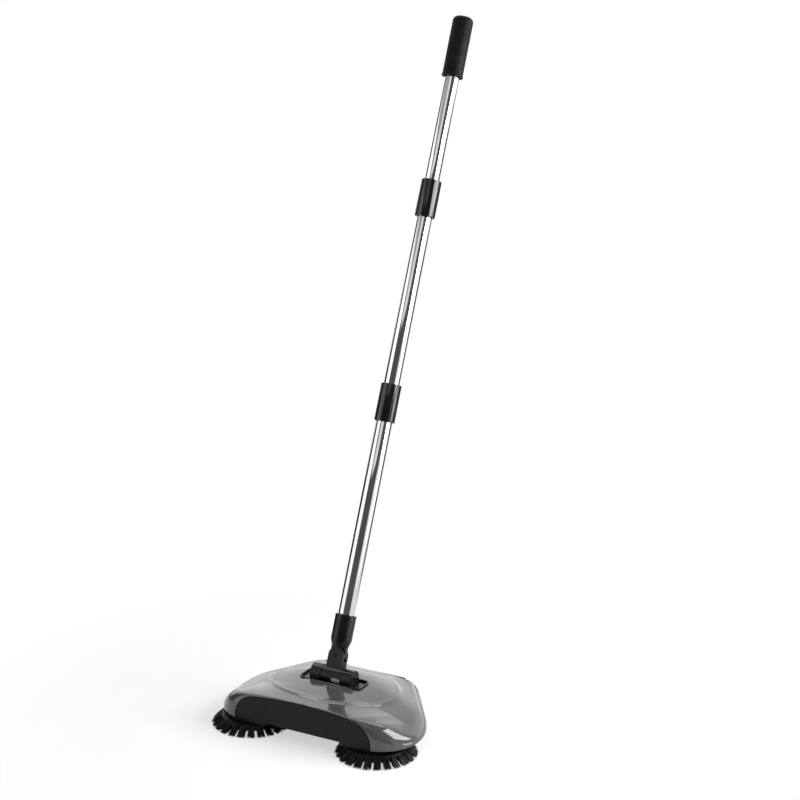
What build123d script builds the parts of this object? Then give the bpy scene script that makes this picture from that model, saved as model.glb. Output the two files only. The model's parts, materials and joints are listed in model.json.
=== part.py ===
"""Push sweeper: a domed body on wheels, two side brushes, a sweeping roller, a dust box and a sliding pole.

The origin is on the floor below the pole's tilt axis. +Z is up, the front is -Y and +X is to the right of a person
looking at the front. Sizes are in millimetres.
"""
import os
from math import atan2, cos, pi, radians, sin, sqrt, tan

from build123d import *

os.makedirs("parts", exist_ok=True)

# Clearances
PRESS_GAP = 0.02       # radial, between pieces that are pressed together
RUN_GAP = 0.05         # radial, between pieces that turn or slide on each other
SIDE_GAP = 0.3         # between faces that pass each other
PANEL_GAP = 0.3        # round panels that sit in the cover's openings

# Pole: tilt axis, lean and lengths along the pole
PIVOT_RISE = 3.0       # tilt axis above the cover's crest
POLE_LEAN = 22.8
NECK_LENGTH = 27.0
SOCKET_LENGTH = 42.5
LOWER_TUBE_SHOWN = 262.0
MIDDLE_TUBE_SHOWN = 231.0
UPPER_TUBE_SHOWN = 145.5
COLLAR_LENGTH = 51.5
GRIP_LENGTH = 84.0
GRIP_DEPTH = 66.0      # how far the upper tube reaches into the grip
TUBE_TUCK = 34.0       # how far a tube reaches into the socket or a collar
TUBE_OVERLAP = 60.0    # sliding tube left inside the tube below
LOCK_BUSH_LENGTH = 8.0

# Pole: diameters and walls
TUBE_DIAMETER = 22.0
TUBE_WALL = 0.35
COLLAR_DIAMETER = 27.8
COLLAR_CHAMFER = 0.9
SOCKET_DIAMETER = 28.4
SOCKET_TAPER = 9.0
GRIP_DIAMETER = 28.4
GRIP_RIM_DIAMETER = 29.8
GRIP_RIM_LENGTH = 3.0
GRIP_CROWN_RADIUS = 9.0

# Universal joint
NECK_WIDTH = 22.6
NECK_DEPTH = 15.0
NECK_CLEARANCE = 0.7
TONGUE_DEPTH = 6.4
SWIVEL_RANGE = 60.0
SWIVEL_PIN_DIAMETER = 6.0
BARREL_DIAMETER = 23.0
TILT_PIN_DIAMETER = 8.0
EAR_DIAMETER = 25.0
EAR_GAP = 31.0
EAR_THICKNESS = 15.5

# Bracket tray, let into the cover
TRAY_LENGTH = 86.0
TRAY_WIDTH = 32.0
TRAY_CORNER_RADIUS = 8.0
TRAY_WALL = 2.0
TRAY_RIM_DROP = 1.0    # tray's rim below the cover's crest
BRACKET_POST_X = 36.0
BRACKET_POST_DIAMETER = 9.0
BRACKET_POST_HEIGHT = 5.0
SCREW_DIAMETER = 3.0
SCREW_HEAD_DIAMETER = 6.5
SCREW_HEAD_HEIGHT = 2.0

# Cover: plan, crest and section
FRONT_Y = -85.0
REAR_Y = 80.0
FOOT_Z = 16.0
SPRING_Z = 20.5
COVER_WALL = 2.4
HALF_WIDTH = 143.5
FRONT_CORNER_RADIUS = 55.0
FRONT_CORNER_TURN = 74.5
SIDE_RADIUS = 95.0
REAR_TAPER = 34.0
CREST_Z = 62.5
CREST_Y = 10.0
FRONT_DROP = 3.0
REAR_DROP = 17.0
EDGE_RADIUS_FRONT = 34.0
EDGE_RADIUS_SIDE = 20.0
EDGE_RADIUS_REAR = 18.0
FRONT_SECTIONS = 5
SIDE_SECTIONS = 3
REAR_SECTIONS = 5
REAR_CROWDING = 1.5
COVER_BOSS_DIAMETER = 8.0
COVER_BOSS_HEIGHT = 14.0
COVER_BOSS_INSET = 24.0
FRONT_BOSS_Y = -8.0
REAR_BOSS_Y = 42.0

# Front panel
PANEL_THICKNESS = 2.4
PANEL_FOOT_Z = 18.0
PANEL_LOBE_INSET = 38.2  # lobe's inner end from the side brush's axis
PANEL_LOBE_GAP = 0.6   # lobe's foot above the brush disc

# Chassis
PLATE_Z = 14.0
PLATE_THICKNESS = 2.5
BULKHEAD_INSET = 39.2  # bulkhead's inner face from the side brush's axis
BULKHEAD_THICKNESS = 2.5
BULKHEAD_REAR_SETBACK = 32.0
ROOF_THICKNESS = 2.0

# Side brushes
BRUSH_INSET = 49.3     # side brush's axis from the cover's widest point
BRUSH_SETBACK = 30.5   # side brush's and roller's axes from the front
BRUSH_RADIUS = 52.4
DISC_RADIUS = 41.0
DISC_THICKNESS = 5.0
DISC_CLEARANCE = 1.0
DISC_CHAMFER = 1.2
TUFT_RING_DEPTH = 3.0
TUFT_RING_WIDTH = 6.0
TUFTS = 24
TUFT_STRANDS = 6
STRAND_SIDE = 0.9
STRAND_PITCH_ROOT = 1.4
STRAND_PITCH_TIP = 2.0
STRAND_TIP_Z = 1.0
BRUSH_SCREW_DIAMETER = 4.0
BRUSH_SCREW_HEAD_DIAMETER = 9.0
BRUSH_SCREW_HEAD_HEIGHT = 3.0

# Face gear on each side brush and its pinion on the roller shaft
GEAR_MODULE = 1.25
GEAR_TEETH = 30
PINION_TEETH = 12
GEAR_TOOTH_ANGLE = 4.2
GEAR_TOOTH_HEIGHT = 2.5
GEAR_TOOTH_LENGTH = 6.5
GEAR_FLANGE_THICKNESS = 1.8
GEAR_FLANGE_OVERHANG = 2.0
GEAR_JOURNAL_RADIUS = 23.0
PINION_FACE = 3.0
PINION_OVERRUN = 0.75  # pinion's outer end past the gear's pitch circle
PINION_ADDENDUM = 0.9
PINION_DEDENDUM = 1.1
PINION_TOOTH_ROOT = 1.75
PINION_TOOTH_TIP = 0.6

# Sweeping roller
ROLLER_FLOOR_GAP = 0.9
ROLLER_SHAFT_DIAMETER = 5.0
ROLLER_CORE_DIAMETER = 18.0
ROLLER_SKIN = 2.0
ROLLER_END_GAP = 2.0   # core's end from the bulkhead
ROLLER_BRISTLE_GAP = 1.8  # bristle skin's end from the side brush
ROLLER_ROWS = 6
ROLLER_ROW_STRANDS = 20
ROLLER_STRAND_SIDE = 1.0
BUSH_DIAMETER = 9.0
BUSH_FLANGE_DIAMETER = 12.0
BUSH_FLANGE = 0.7

# Drive wheels and belts
WHEEL_Y = 14.0
WHEEL_RADIUS = 20.0
WHEEL_WIDTH = 12.0
TYRE_THICKNESS = 4.0
AXLE_DIAMETER = 5.0
HUB_RECESS = 3.0
HUB_RIM = 3.0
HUB_BOSS_DIAMETER = 12.0
WHEEL_PULLEY_RADIUS = 11.25
BELT_RATIO = 2.0
PULLEY_WIDTH = 4.6
BELT_WIDTH = 4.0
BELT_THICKNESS = 1.5
BELT_SLACK = 0.25
WHEEL_POST_THICKNESS = 2.5
WHEEL_POST_WIDTH = 12.0
WHEEL_CLEARANCE = 2.0

# Rear casters
CASTER_OFFSET = 12.5   # caster's middle from the bulkhead's outer face
CASTER_SETBACK = 15.0
CASTER_RADIUS = 9.0
CASTER_WIDTH = 8.0
CASTER_PIN_DIAMETER = 4.0
FORK_THICKNESS = 2.5
FORK_WIDTH = 10.0
FORK_DEPTH = 9.0

# Dust box
BOX_FLOOR_Z = 7.0
BOX_FLOOR = 2.0
BOX_WALL = 2.0
BOX_SETBACK = 30.5     # box's front from the roller's axis
BOX_LIP_HEIGHT = 9.0
BOX_HEADROOM = 6.0     # flange below the roof
BOX_FLANGE = 2.0
BOX_FLANGE_WIDTH = 3.6
RAIL_THICKNESS = 2.5
RAIL_GAP = 0.1
REAR_PLATE_THICKNESS = 2.5
REAR_PLATE_FOOT_Z = 8.0
FASCIA_INSET = 22.6    # fascia's end from the cover's rear edge
FASCIA_DROP = 1.0      # fascia's top below the cover's rear edge
FASCIA_HEIGHT = 30.0
FASCIA_THICKNESS = 2.5
FASCIA_CORNER_RADIUS = 4.0
PULL_WIDTH = 56.0
PULL_DEPTH = 6.0
PULL_THICKNESS = 2.5
PULL_DROP = 14.0       # pull below the fascia's top
DUST_LIP_GAP = 2.2     # lip's end from the side brush
DUST_LIP_THICKNESS = 2.0
DUST_LIP_FOOT_Z = 1.0

SIDES = ((1, "right"), (-1, "left"))

# Places worked out from the sizes
side_turn = radians(REAR_TAPER)
widest_y = FRONT_Y + FRONT_CORNER_RADIUS * sin(radians(FRONT_CORNER_TURN))
taper_y = widest_y + SIDE_RADIUS * sin(side_turn)
pivot_z = CREST_Z + PIVOT_RISE
lean = radians(POLE_LEAN)
pole_direction = (0, sin(lean), cos(lean))
pivot = (0, 0, pivot_z)
POLE = Plane(origin=pivot, x_dir=(1, 0, 0), z_dir=pole_direction)
POLE_SECTION = Plane(origin=pivot, x_dir=(1, 0, 0), z_dir=(0, -cos(lean), sin(lean)))
POLE_AXIS = Axis(pivot, pole_direction)

socket_foot = NECK_LENGTH + NECK_WIDTH / 2 + NECK_CLEARANCE
socket_top = socket_foot + SOCKET_LENGTH
lower_collar_foot = socket_top + LOWER_TUBE_SHOWN
lower_collar_top = lower_collar_foot + COLLAR_LENGTH
upper_collar_foot = lower_collar_top + MIDDLE_TUBE_SHOWN
upper_collar_top = upper_collar_foot + COLLAR_LENGTH
grip_foot = upper_collar_top + UPPER_TUBE_SHOWN
grip_top = grip_foot + GRIP_LENGTH

tube_step = 2 * (TUBE_WALL + RUN_GAP)
lower_radius = TUBE_DIAMETER / 2
middle_radius = lower_radius - tube_step / 2
upper_radius = middle_radius - tube_step / 2

tray_floor_top = pivot_z - EAR_DIAMETER / 2
tray_floor_z = tray_floor_top - TRAY_WALL
tray_rim_z = CREST_Z - TRAY_RIM_DROP
roof_top = tray_floor_z - BRACKET_POST_HEIGHT
roof_z = roof_top - ROOF_THICKNESS
plate_top = PLATE_Z + PLATE_THICKNESS
plate_rear_y = REAR_Y - REAR_PLATE_THICKNESS - SIDE_GAP
plate_front_y = FRONT_Y + PANEL_THICKNESS
brush_x = HALF_WIDTH - BRUSH_INSET
brush_y = FRONT_Y + BRUSH_SETBACK
bulkhead_x = brush_x - BULKHEAD_INSET
bulkhead_outer = bulkhead_x + BULKHEAD_THICKNESS
bulkhead_rear_y = REAR_Y - BULKHEAD_REAR_SETBACK

disc_top = PLATE_Z - DISC_CLEARANCE
disc_foot = disc_top - DISC_THICKNESS
gear_pitch_radius = GEAR_MODULE * GEAR_TEETH / 2
pinion_pitch_radius = GEAR_MODULE * PINION_TEETH / 2
gear_flange_z = plate_top + RUN_GAP
gear_root_z = gear_flange_z + GEAR_FLANGE_THICKNESS
gear_pitch_z = gear_root_z + GEAR_TOOTH_HEIGHT / 2 + SIDE_GAP
roller_z = gear_pitch_z + pinion_pitch_radius
pinion_outer_x = brush_x - gear_pitch_radius + PINION_OVERRUN
pinion_inner_x = pinion_outer_x - PINION_FACE
roller_radius = roller_z - ROLLER_FLOOR_GAP
roller_end = bulkhead_x - ROLLER_END_GAP
roller_skin_end = brush_x - BRUSH_RADIUS - ROLLER_BRISTLE_GAP

pulley_inner_x = bulkhead_outer + BUSH_FLANGE + SIDE_GAP
pulley_outer_x = pulley_inner_x + PULLEY_WIDTH
belt_x = pulley_inner_x + (PULLEY_WIDTH - BELT_WIDTH) / 2
wheel_inner_x = pulley_outer_x + SIDE_GAP
wheel_outer_x = wheel_inner_x + WHEEL_WIDTH
post_x = wheel_outer_x + WHEEL_CLEARANCE
belt_middle = BELT_SLACK + BELT_THICKNESS / 2
roller_pulley_radius = (WHEEL_PULLEY_RADIUS + belt_middle) / BELT_RATIO - belt_middle
caster_x = bulkhead_outer + CASTER_OFFSET
caster_y = REAR_Y - CASTER_SETBACK
box_half_width = bulkhead_x - BOX_FLANGE_WIDTH + RAIL_GAP
box_front_y = brush_y + BOX_SETBACK
box_rear_y = REAR_Y - REAR_PLATE_THICKNESS
box_flange_z = roof_z - BOX_FLANGE - BOX_HEADROOM
dust_lip_front_y = box_front_y - DUST_LIP_THICKNESS
brush_reach = sqrt(BRUSH_RADIUS**2 - (dust_lip_front_y - brush_y) ** 2)
dust_lip_end = brush_x - brush_reach - DUST_LIP_GAP


def half_width(y):
    """Half the cover's width: a round front corner, a rounder side and a straight taper to the rear."""
    if y < widest_y:
        return HALF_WIDTH - FRONT_CORNER_RADIUS + sqrt(FRONT_CORNER_RADIUS**2 - (y - widest_y) ** 2)
    if y < taper_y:
        return HALF_WIDTH - SIDE_RADIUS + sqrt(SIDE_RADIUS**2 - (y - widest_y) ** 2)
    return HALF_WIDTH - SIDE_RADIUS * (1 - cos(side_turn)) - (y - taper_y) * tan(side_turn)


def crest(y):
    """Height of the cover on its middle line, falling a little to the front and more to the rear."""
    if y < CREST_Y:
        return CREST_Z - FRONT_DROP * ((y - CREST_Y) / (FRONT_Y - CREST_Y)) ** 2
    return CREST_Z - REAR_DROP * ((y - CREST_Y) / (REAR_Y - CREST_Y)) ** 2


def edge_radius(y):
    """Radius between the cover's side and its top."""
    if y < widest_y:
        share = (y - FRONT_Y) / (widest_y - FRONT_Y)
        return EDGE_RADIUS_FRONT + share * (EDGE_RADIUS_SIDE - EDGE_RADIUS_FRONT)
    share = (y - widest_y) / (REAR_Y - widest_y)
    return EDGE_RADIUS_SIDE + share * (EDGE_RADIUS_REAR - EDGE_RADIUS_SIDE)


def arch(y, inset, foot):
    """Sketch of the cover's section at y, drawn in by inset: walls, corner arcs and a tangent crown."""
    width = half_width(y) - inset
    top = crest(y) - inset
    corner = edge_radius(y) - inset
    rise = top - SPRING_Z
    run = width - corner
    crown = (run**2 + rise**2 - corner**2) / (2 * (rise - corner))
    tangent = atan2(run, crown - rise)
    middle = (tangent + pi / 2) / 2
    shoulder = (run + corner * sin(tangent), SPRING_Z + corner * cos(tangent))
    bend = (run + corner * sin(middle), SPRING_Z + corner * cos(middle))
    with BuildSketch(Plane.XZ.offset(-y)) as section:
        with BuildLine():
            Line((-width, foot), (width, foot))
            Line((width, foot), (width, SPRING_Z))
            ThreePointArc((width, SPRING_Z), bend, shoulder)
            ThreePointArc(shoulder, (0, top), (-shoulder[0], shoulder[1]))
            ThreePointArc((-shoulder[0], shoulder[1]), (-bend[0], bend[1]), (-width, SPRING_Z))
            Line((-width, SPRING_Z), (-width, foot))
        make_face()
    return section.sketch


def vault(inset, foot):
    """Solid under the cover's surface, drawn in by inset, with sections closer together at both ends."""
    front_turn = radians(FRONT_CORNER_TURN)
    stations = [widest_y]
    for i in range(1, FRONT_SECTIONS + 1):
        stations.insert(0, widest_y - FRONT_CORNER_RADIUS * sin(front_turn * i / FRONT_SECTIONS))
    for i in range(1, SIDE_SECTIONS + 1):
        stations.append(widest_y + SIDE_RADIUS * sin(side_turn * i / SIDE_SECTIONS))
    for i in range(1, REAR_SECTIONS + 1):
        left = (1 - i / REAR_SECTIONS) ** REAR_CROWDING
        stations.append(taper_y + (REAR_Y - taper_y) * (1 - left))
    loft([arch(y, inset, foot) for y in stations])


def span_box(x, y, z, mode=Mode.ADD):
    """Box between pairs of limits on each axis."""
    with Locations(((x[0] + x[1]) / 2, (y[0] + y[1]) / 2, (z[0] + z[1]) / 2)):
        Box(abs(x[1] - x[0]), y[1] - y[0], z[1] - z[0], mode=mode)


def cross_rod(x, y, z, radius, mode=Mode.ADD):
    """Cylinder along X between two limits."""
    with Locations(Location(((x[0] + x[1]) / 2, y, z), (0, 90, 0))):
        Cylinder(radius, abs(x[1] - x[0]), mode=mode)


def pole_sleeve(foot, top, radius, bore, mode=Mode.ADD):
    """Round sleeve along the pole."""
    with BuildSketch(POLE.offset(foot)) as ring:
        Circle(radius)
        if bore:
            Circle(bore, mode=Mode.SUBTRACT)
    extrude(ring.sketch, amount=top - foot, mode=mode)


def boss_places(z):
    """Places of the cover's four screw bosses at one height."""
    places = []
    for y in (FRONT_BOSS_Y, REAR_BOSS_Y):
        x = half_width(y) - COVER_BOSS_INSET
        places += [(x, y, z), (-x, y, z)]
    return places


def save(part, name):
    part.label = name
    export_step(part, f"parts/{name}.step")


# Cover, open at the front, rear and foot, with bosses inside and an opening for the bracket tray
with BuildPart() as cavity:
    vault(COVER_WALL, FOOT_Z - COVER_WALL)
    with Locations(*boss_places(0)):
        Cylinder(
            COVER_BOSS_DIAMETER / 2,
            CREST_Z,
            align=(Align.CENTER, Align.CENTER, Align.MIN),
            mode=Mode.SUBTRACT,
        )
with BuildPart() as top_shell:
    vault(0, FOOT_Z)
    add(cavity.part, mode=Mode.SUBTRACT)
    with BuildSketch(Plane.XY.offset(tray_floor_z)):
        RectangleRounded(
            TRAY_LENGTH + 2 * PANEL_GAP, TRAY_WIDTH + 2 * PANEL_GAP, TRAY_CORNER_RADIUS + PANEL_GAP
        )
    extrude(amount=CREST_Z, mode=Mode.SUBTRACT)
    with Locations(*boss_places(0)):
        Cylinder(
            COVER_BOSS_DIAMETER / 2 + PRESS_GAP,
            plate_top,
            align=(Align.CENTER, Align.CENTER, Align.MIN),
            mode=Mode.SUBTRACT,
        )
        Cylinder(
            SCREW_DIAMETER / 2 + PRESS_GAP,
            plate_top + COVER_BOSS_HEIGHT,
            align=(Align.CENTER, Align.CENTER, Align.MIN),
            mode=Mode.SUBTRACT,
        )
save(top_shell.part, "top_shell")

# Front panel in the cover's front arch, with lower lobes over the side brushes
with BuildPart() as front_panel:
    extrude(arch(FRONT_Y, COVER_WALL + PANEL_GAP, PANEL_FOOT_Z), amount=-PANEL_THICKNESS)
    panel_edge = half_width(FRONT_Y) - COVER_WALL - PANEL_GAP
    for side, tag in SIDES:
        span_box(
            (side * (brush_x - PANEL_LOBE_INSET), side * panel_edge),
            (FRONT_Y, FRONT_Y + PANEL_THICKNESS),
            (disc_top + PANEL_LOBE_GAP, SPRING_Z),
        )
save(front_panel.part, "front_panel")

# Chassis: base plate, bulkheads, roof, wheel posts, caster forks and the dust box's rails
with BuildPart() as chassis:
    plate_inset = COVER_WALL + 2 * PANEL_GAP
    corner_mid_y = (plate_front_y + widest_y) / 2
    side_mid_y = (widest_y + taper_y) / 2
    outline = [
        (half_width(y) - plate_inset, y)
        for y in (plate_front_y, corner_mid_y, widest_y, side_mid_y, taper_y, plate_rear_y)
    ]
    with BuildSketch(Plane.XY.offset(PLATE_Z)):
        with BuildLine():
            Line((0, plate_front_y), outline[0])
            ThreePointArc(outline[0], outline[1], outline[2])
            ThreePointArc(outline[2], outline[3], outline[4])
            Line(outline[4], outline[5])
            Line(outline[5], (0, plate_rear_y))
            mirror(about=Plane.YZ)
        make_face()
        with Locations((brush_x, brush_y), (-brush_x, brush_y)):
            Circle(GEAR_JOURNAL_RADIUS, mode=Mode.SUBTRACT)
        with Locations(*boss_places(0)):
            Circle(SCREW_DIAMETER / 2 + SIDE_GAP, mode=Mode.SUBTRACT)
    extrude(amount=PLATE_THICKNESS)
    span_box((-bulkhead_x, bulkhead_x), (FRONT_Y, REAR_Y), (PLATE_Z, plate_top), Mode.SUBTRACT)
    span_box(
        (-bulkhead_outer, bulkhead_outer), (dust_lip_front_y, bulkhead_rear_y), (roof_z, roof_top)
    )
    for side, tag in SIDES:
        span_box(
            (side * bulkhead_x, side * bulkhead_outer), (plate_front_y, bulkhead_rear_y), (PLATE_Z, roof_top)
        )
        span_box(
            (side * (box_half_width + SIDE_GAP), side * bulkhead_x),
            (box_front_y, bulkhead_rear_y),
            (box_flange_z - RAIL_GAP - RAIL_THICKNESS, box_flange_z - RAIL_GAP),
        )
        span_box(
            (side * bulkhead_outer, side * (wheel_outer_x + WHEEL_CLEARANCE)),
            (WHEEL_Y - WHEEL_RADIUS - WHEEL_CLEARANCE, WHEEL_Y + WHEEL_RADIUS + WHEEL_CLEARANCE),
            (PLATE_Z, plate_top),
            Mode.SUBTRACT,
        )
        span_box(
            (side * bulkhead_outer, side * (pulley_outer_x + SIDE_GAP)),
            (brush_y, WHEEL_Y),
            (PLATE_Z, plate_top),
            Mode.SUBTRACT,
        )
        span_box(
            (side * post_x, side * (post_x + WHEEL_POST_THICKNESS)),
            (WHEEL_Y - WHEEL_POST_WIDTH / 2, WHEEL_Y + WHEEL_POST_WIDTH / 2),
            (PLATE_Z, WHEEL_RADIUS + WHEEL_POST_WIDTH / 2),
        )
        fork_inner = caster_x - CASTER_WIDTH / 2 - SIDE_GAP
        fork_outer = caster_x + CASTER_WIDTH / 2 + SIDE_GAP
        span_box(
            (side * fork_inner, side * fork_outer),
            (caster_y - CASTER_RADIUS - WHEEL_CLEARANCE, caster_y + CASTER_RADIUS + WHEEL_CLEARANCE),
            (PLATE_Z, plate_top),
            Mode.SUBTRACT,
        )
        for inner in (fork_inner - FORK_THICKNESS, fork_outer):
            span_box(
                (side * inner, side * (inner + FORK_THICKNESS)),
                (caster_y - FORK_WIDTH / 2, caster_y + FORK_WIDTH / 2),
                (PLATE_Z - FORK_DEPTH, PLATE_Z),
            )
        cross_rod(
            (side * (fork_inner - FORK_THICKNESS), side * (fork_outer + FORK_THICKNESS)),
            caster_y,
            CASTER_RADIUS,
            CASTER_PIN_DIAMETER / 2 + PRESS_GAP,
            Mode.SUBTRACT,
        )
        cross_rod(
            (side * bulkhead_x, side * (post_x + WHEEL_POST_THICKNESS)),
            WHEEL_Y,
            WHEEL_RADIUS,
            AXLE_DIAMETER / 2 + PRESS_GAP,
            Mode.SUBTRACT,
        )
        cross_rod(
            (side * bulkhead_x, side * bulkhead_outer),
            brush_y,
            roller_z,
            BUSH_DIAMETER / 2 + PRESS_GAP,
            Mode.SUBTRACT,
        )
        with Locations((side * BRACKET_POST_X, 0, roof_z)):
            Cylinder(
                SCREW_DIAMETER / 2 + SIDE_GAP,
                ROOF_THICKNESS,
                align=(Align.CENTER, Align.CENTER, Align.MIN),
                mode=Mode.SUBTRACT,
            )
save(chassis.part, "chassis")

# Bracket: a tray let into the cover, two ears for the tilt pin and two posts that stand on the roof
with BuildPart() as pole_bracket:
    with BuildSketch(Plane.XY.offset(tray_floor_z)):
        RectangleRounded(TRAY_LENGTH, TRAY_WIDTH, TRAY_CORNER_RADIUS)
    extrude(amount=tray_rim_z - tray_floor_z)
    with BuildSketch(Plane.XY.offset(tray_floor_top)):
        RectangleRounded(
            TRAY_LENGTH - 2 * TRAY_WALL, TRAY_WIDTH - 2 * TRAY_WALL, TRAY_CORNER_RADIUS - TRAY_WALL
        )
    extrude(amount=tray_rim_z - tray_floor_top, mode=Mode.SUBTRACT)
    for ear_x in (EAR_GAP / 2, -EAR_GAP / 2 - EAR_THICKNESS):
        with BuildSketch(Plane.YZ.offset(ear_x)):
            with Locations((0, pivot_z)):
                Circle(EAR_DIAMETER / 2)
            with Locations((0, (pivot_z + tray_floor_top) / 2)):
                Rectangle(EAR_DIAMETER, pivot_z - tray_floor_top)
            with Locations((0, pivot_z)):
                Circle(TILT_PIN_DIAMETER / 2 + PRESS_GAP, mode=Mode.SUBTRACT)
        extrude(amount=EAR_THICKNESS)
    for side, tag in SIDES:
        with BuildSketch(Plane.XY.offset(roof_top)):
            with Locations((side * BRACKET_POST_X, 0)):
                Circle(BRACKET_POST_DIAMETER / 2)
        extrude(amount=tray_floor_z - roof_top)
        with BuildSketch(Plane.XY.offset(roof_top)):
            with Locations((side * BRACKET_POST_X, 0)):
                Circle(SCREW_DIAMETER / 2 + PRESS_GAP)
        extrude(amount=tray_floor_z - roof_top, mode=Mode.SUBTRACT)
save(pole_bracket.part, "pole_bracket")

with BuildPart() as bracket_screws:
    with Locations((BRACKET_POST_X, 0, roof_z), (-BRACKET_POST_X, 0, roof_z)):
        Cylinder(
            SCREW_DIAMETER / 2, tray_floor_z - roof_z, align=(Align.CENTER, Align.CENTER, Align.MIN)
        )
        Cylinder(
            SCREW_HEAD_DIAMETER / 2, SCREW_HEAD_HEIGHT, align=(Align.CENTER, Align.CENTER, Align.MAX)
        )
save(bracket_screws.part, "bracket_screws")

with BuildPart() as shell_screws:
    with Locations(*boss_places(PLATE_Z)):
        Cylinder(
            SCREW_DIAMETER / 2,
            PLATE_THICKNESS + COVER_BOSS_HEIGHT,
            align=(Align.CENTER, Align.CENTER, Align.MIN),
        )
        Cylinder(
            SCREW_HEAD_DIAMETER / 2, SCREW_HEAD_HEIGHT, align=(Align.CENTER, Align.CENTER, Align.MAX)
        )
save(shell_screws.part, "shell_screws")

# Tilt pin through the ears and the barrel
with BuildPart() as tilt_pin:
    cross_rod((-EAR_GAP / 2 - EAR_THICKNESS, EAR_GAP / 2 + EAR_THICKNESS), 0, pivot_z, TILT_PIN_DIAMETER / 2)
save(tilt_pin.part, "tilt_pin")

# Yoke: barrel between the ears, and a slotted neck whose cheeks hold the swivel pin
with BuildPart() as pole_yoke:
    barrel_end = EAR_GAP / 2 - SIDE_GAP
    cross_rod((-barrel_end, barrel_end), 0, pivot_z, BARREL_DIAMETER / 2)
    with BuildSketch(POLE_SECTION.offset(-NECK_DEPTH / 2)):
        with Locations((0, NECK_LENGTH)):
            Circle(NECK_WIDTH / 2)
        with Locations((0, NECK_LENGTH / 2)):
            Rectangle(NECK_WIDTH, NECK_LENGTH)
    extrude(amount=NECK_DEPTH)
    slot_depth = TONGUE_DEPTH + 2 * SIDE_GAP
    slot_radius = NECK_WIDTH / 2 + SIDE_GAP
    with BuildSketch(POLE_SECTION.offset(-slot_depth / 2)):
        with Locations((0, NECK_LENGTH)):
            Circle(slot_radius)
        for turn in (-SWIVEL_RANGE, 0, SWIVEL_RANGE):
            with Locations(Location((0, NECK_LENGTH, 0), (0, 0, turn))):
                Rectangle(2 * slot_radius, socket_foot - NECK_LENGTH, align=(Align.CENTER, Align.MIN))
    extrude(amount=slot_depth, mode=Mode.SUBTRACT)
    with BuildSketch(POLE_SECTION.offset(-NECK_DEPTH / 2)):
        with Locations((0, NECK_LENGTH)):
            Circle(SWIVEL_PIN_DIAMETER / 2 + PRESS_GAP)
    extrude(amount=NECK_DEPTH, mode=Mode.SUBTRACT)
    cross_rod((-barrel_end, barrel_end), 0, pivot_z, TILT_PIN_DIAMETER / 2 + RUN_GAP, Mode.SUBTRACT)
save(pole_yoke.part, "pole_yoke")

with BuildPart() as swivel_pin:
    with BuildSketch(POLE_SECTION.offset(-NECK_DEPTH / 2)):
        with Locations((0, NECK_LENGTH)):
            Circle(SWIVEL_PIN_DIAMETER / 2)
    extrude(amount=NECK_DEPTH)
save(swivel_pin.part, "swivel_pin")

# Socket: a tapered sleeve for the lower tube, on the tongue of the swivel
with BuildPart() as pole_socket:
    with BuildSketch(POLE_SECTION):
        with BuildLine():
            Polyline(
                (0, socket_foot),
                (NECK_WIDTH / 2, socket_foot),
                (SOCKET_DIAMETER / 2, socket_foot + SOCKET_TAPER),
                (SOCKET_DIAMETER / 2, socket_top),
                (0, socket_top),
                close=True,
            )
        make_face()
    revolve(axis=POLE_AXIS)
    pole_sleeve(socket_top - TUBE_TUCK, socket_top, lower_radius + PRESS_GAP, 0, Mode.SUBTRACT)
    with BuildSketch(POLE_SECTION.offset(-TONGUE_DEPTH / 2)):
        with Locations((0, NECK_LENGTH)):
            Circle(NECK_WIDTH / 2 - SIDE_GAP)
        with Locations((0, (NECK_LENGTH + socket_foot) / 2)):
            Rectangle(NECK_WIDTH - 2 * SIDE_GAP, socket_foot - NECK_LENGTH)
    extrude(amount=TONGUE_DEPTH)
    with BuildSketch(POLE_SECTION.offset(-TONGUE_DEPTH / 2)):
        with Locations((0, NECK_LENGTH)):
            Circle(SWIVEL_PIN_DIAMETER / 2 + RUN_GAP)
    extrude(amount=TONGUE_DEPTH, mode=Mode.SUBTRACT)
save(pole_socket.part, "pole_socket")

# Tubes, each sliding in the one below
with BuildPart() as lower_tube:
    pole_sleeve(socket_top - TUBE_TUCK, lower_collar_foot + TUBE_TUCK, lower_radius, lower_radius - TUBE_WALL)
save(lower_tube.part, "lower_tube")

with BuildPart() as middle_tube:
    pole_sleeve(
        lower_collar_foot - TUBE_OVERLAP,
        upper_collar_foot + TUBE_TUCK,
        middle_radius,
        middle_radius - TUBE_WALL,
    )
save(middle_tube.part, "middle_tube")

with BuildPart() as upper_tube:
    pole_sleeve(
        upper_collar_foot - TUBE_OVERLAP, grip_foot + GRIP_DEPTH, upper_radius, upper_radius - TUBE_WALL
    )
save(upper_tube.part, "upper_tube")

# Twist collars, and the lock bushes that they close on the sliding tubes
for name, foot, outer, slider in (
    ("lower", lower_collar_foot, lower_radius, middle_radius),
    ("upper", upper_collar_foot, middle_radius, upper_radius),
):
    bush_foot = foot + TUBE_TUCK
    bush_top = bush_foot + LOCK_BUSH_LENGTH
    with BuildPart() as lock_bush:
        pole_sleeve(bush_foot, bush_top, outer, slider + RUN_GAP)
    save(lock_bush.part, f"{name}_lock_bush")

    with BuildPart() as collar:
        pole_sleeve(foot, foot + COLLAR_LENGTH, COLLAR_DIAMETER / 2, slider + SIDE_GAP)
        chamfer(collar.edges().filter_by(GeomType.CIRCLE).group_by(SortBy.RADIUS)[-1], COLLAR_CHAMFER)
        pole_sleeve(foot, bush_top + SIDE_GAP, outer + RUN_GAP, slider, Mode.SUBTRACT)
    save(collar.part, f"{name}_collar")

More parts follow.
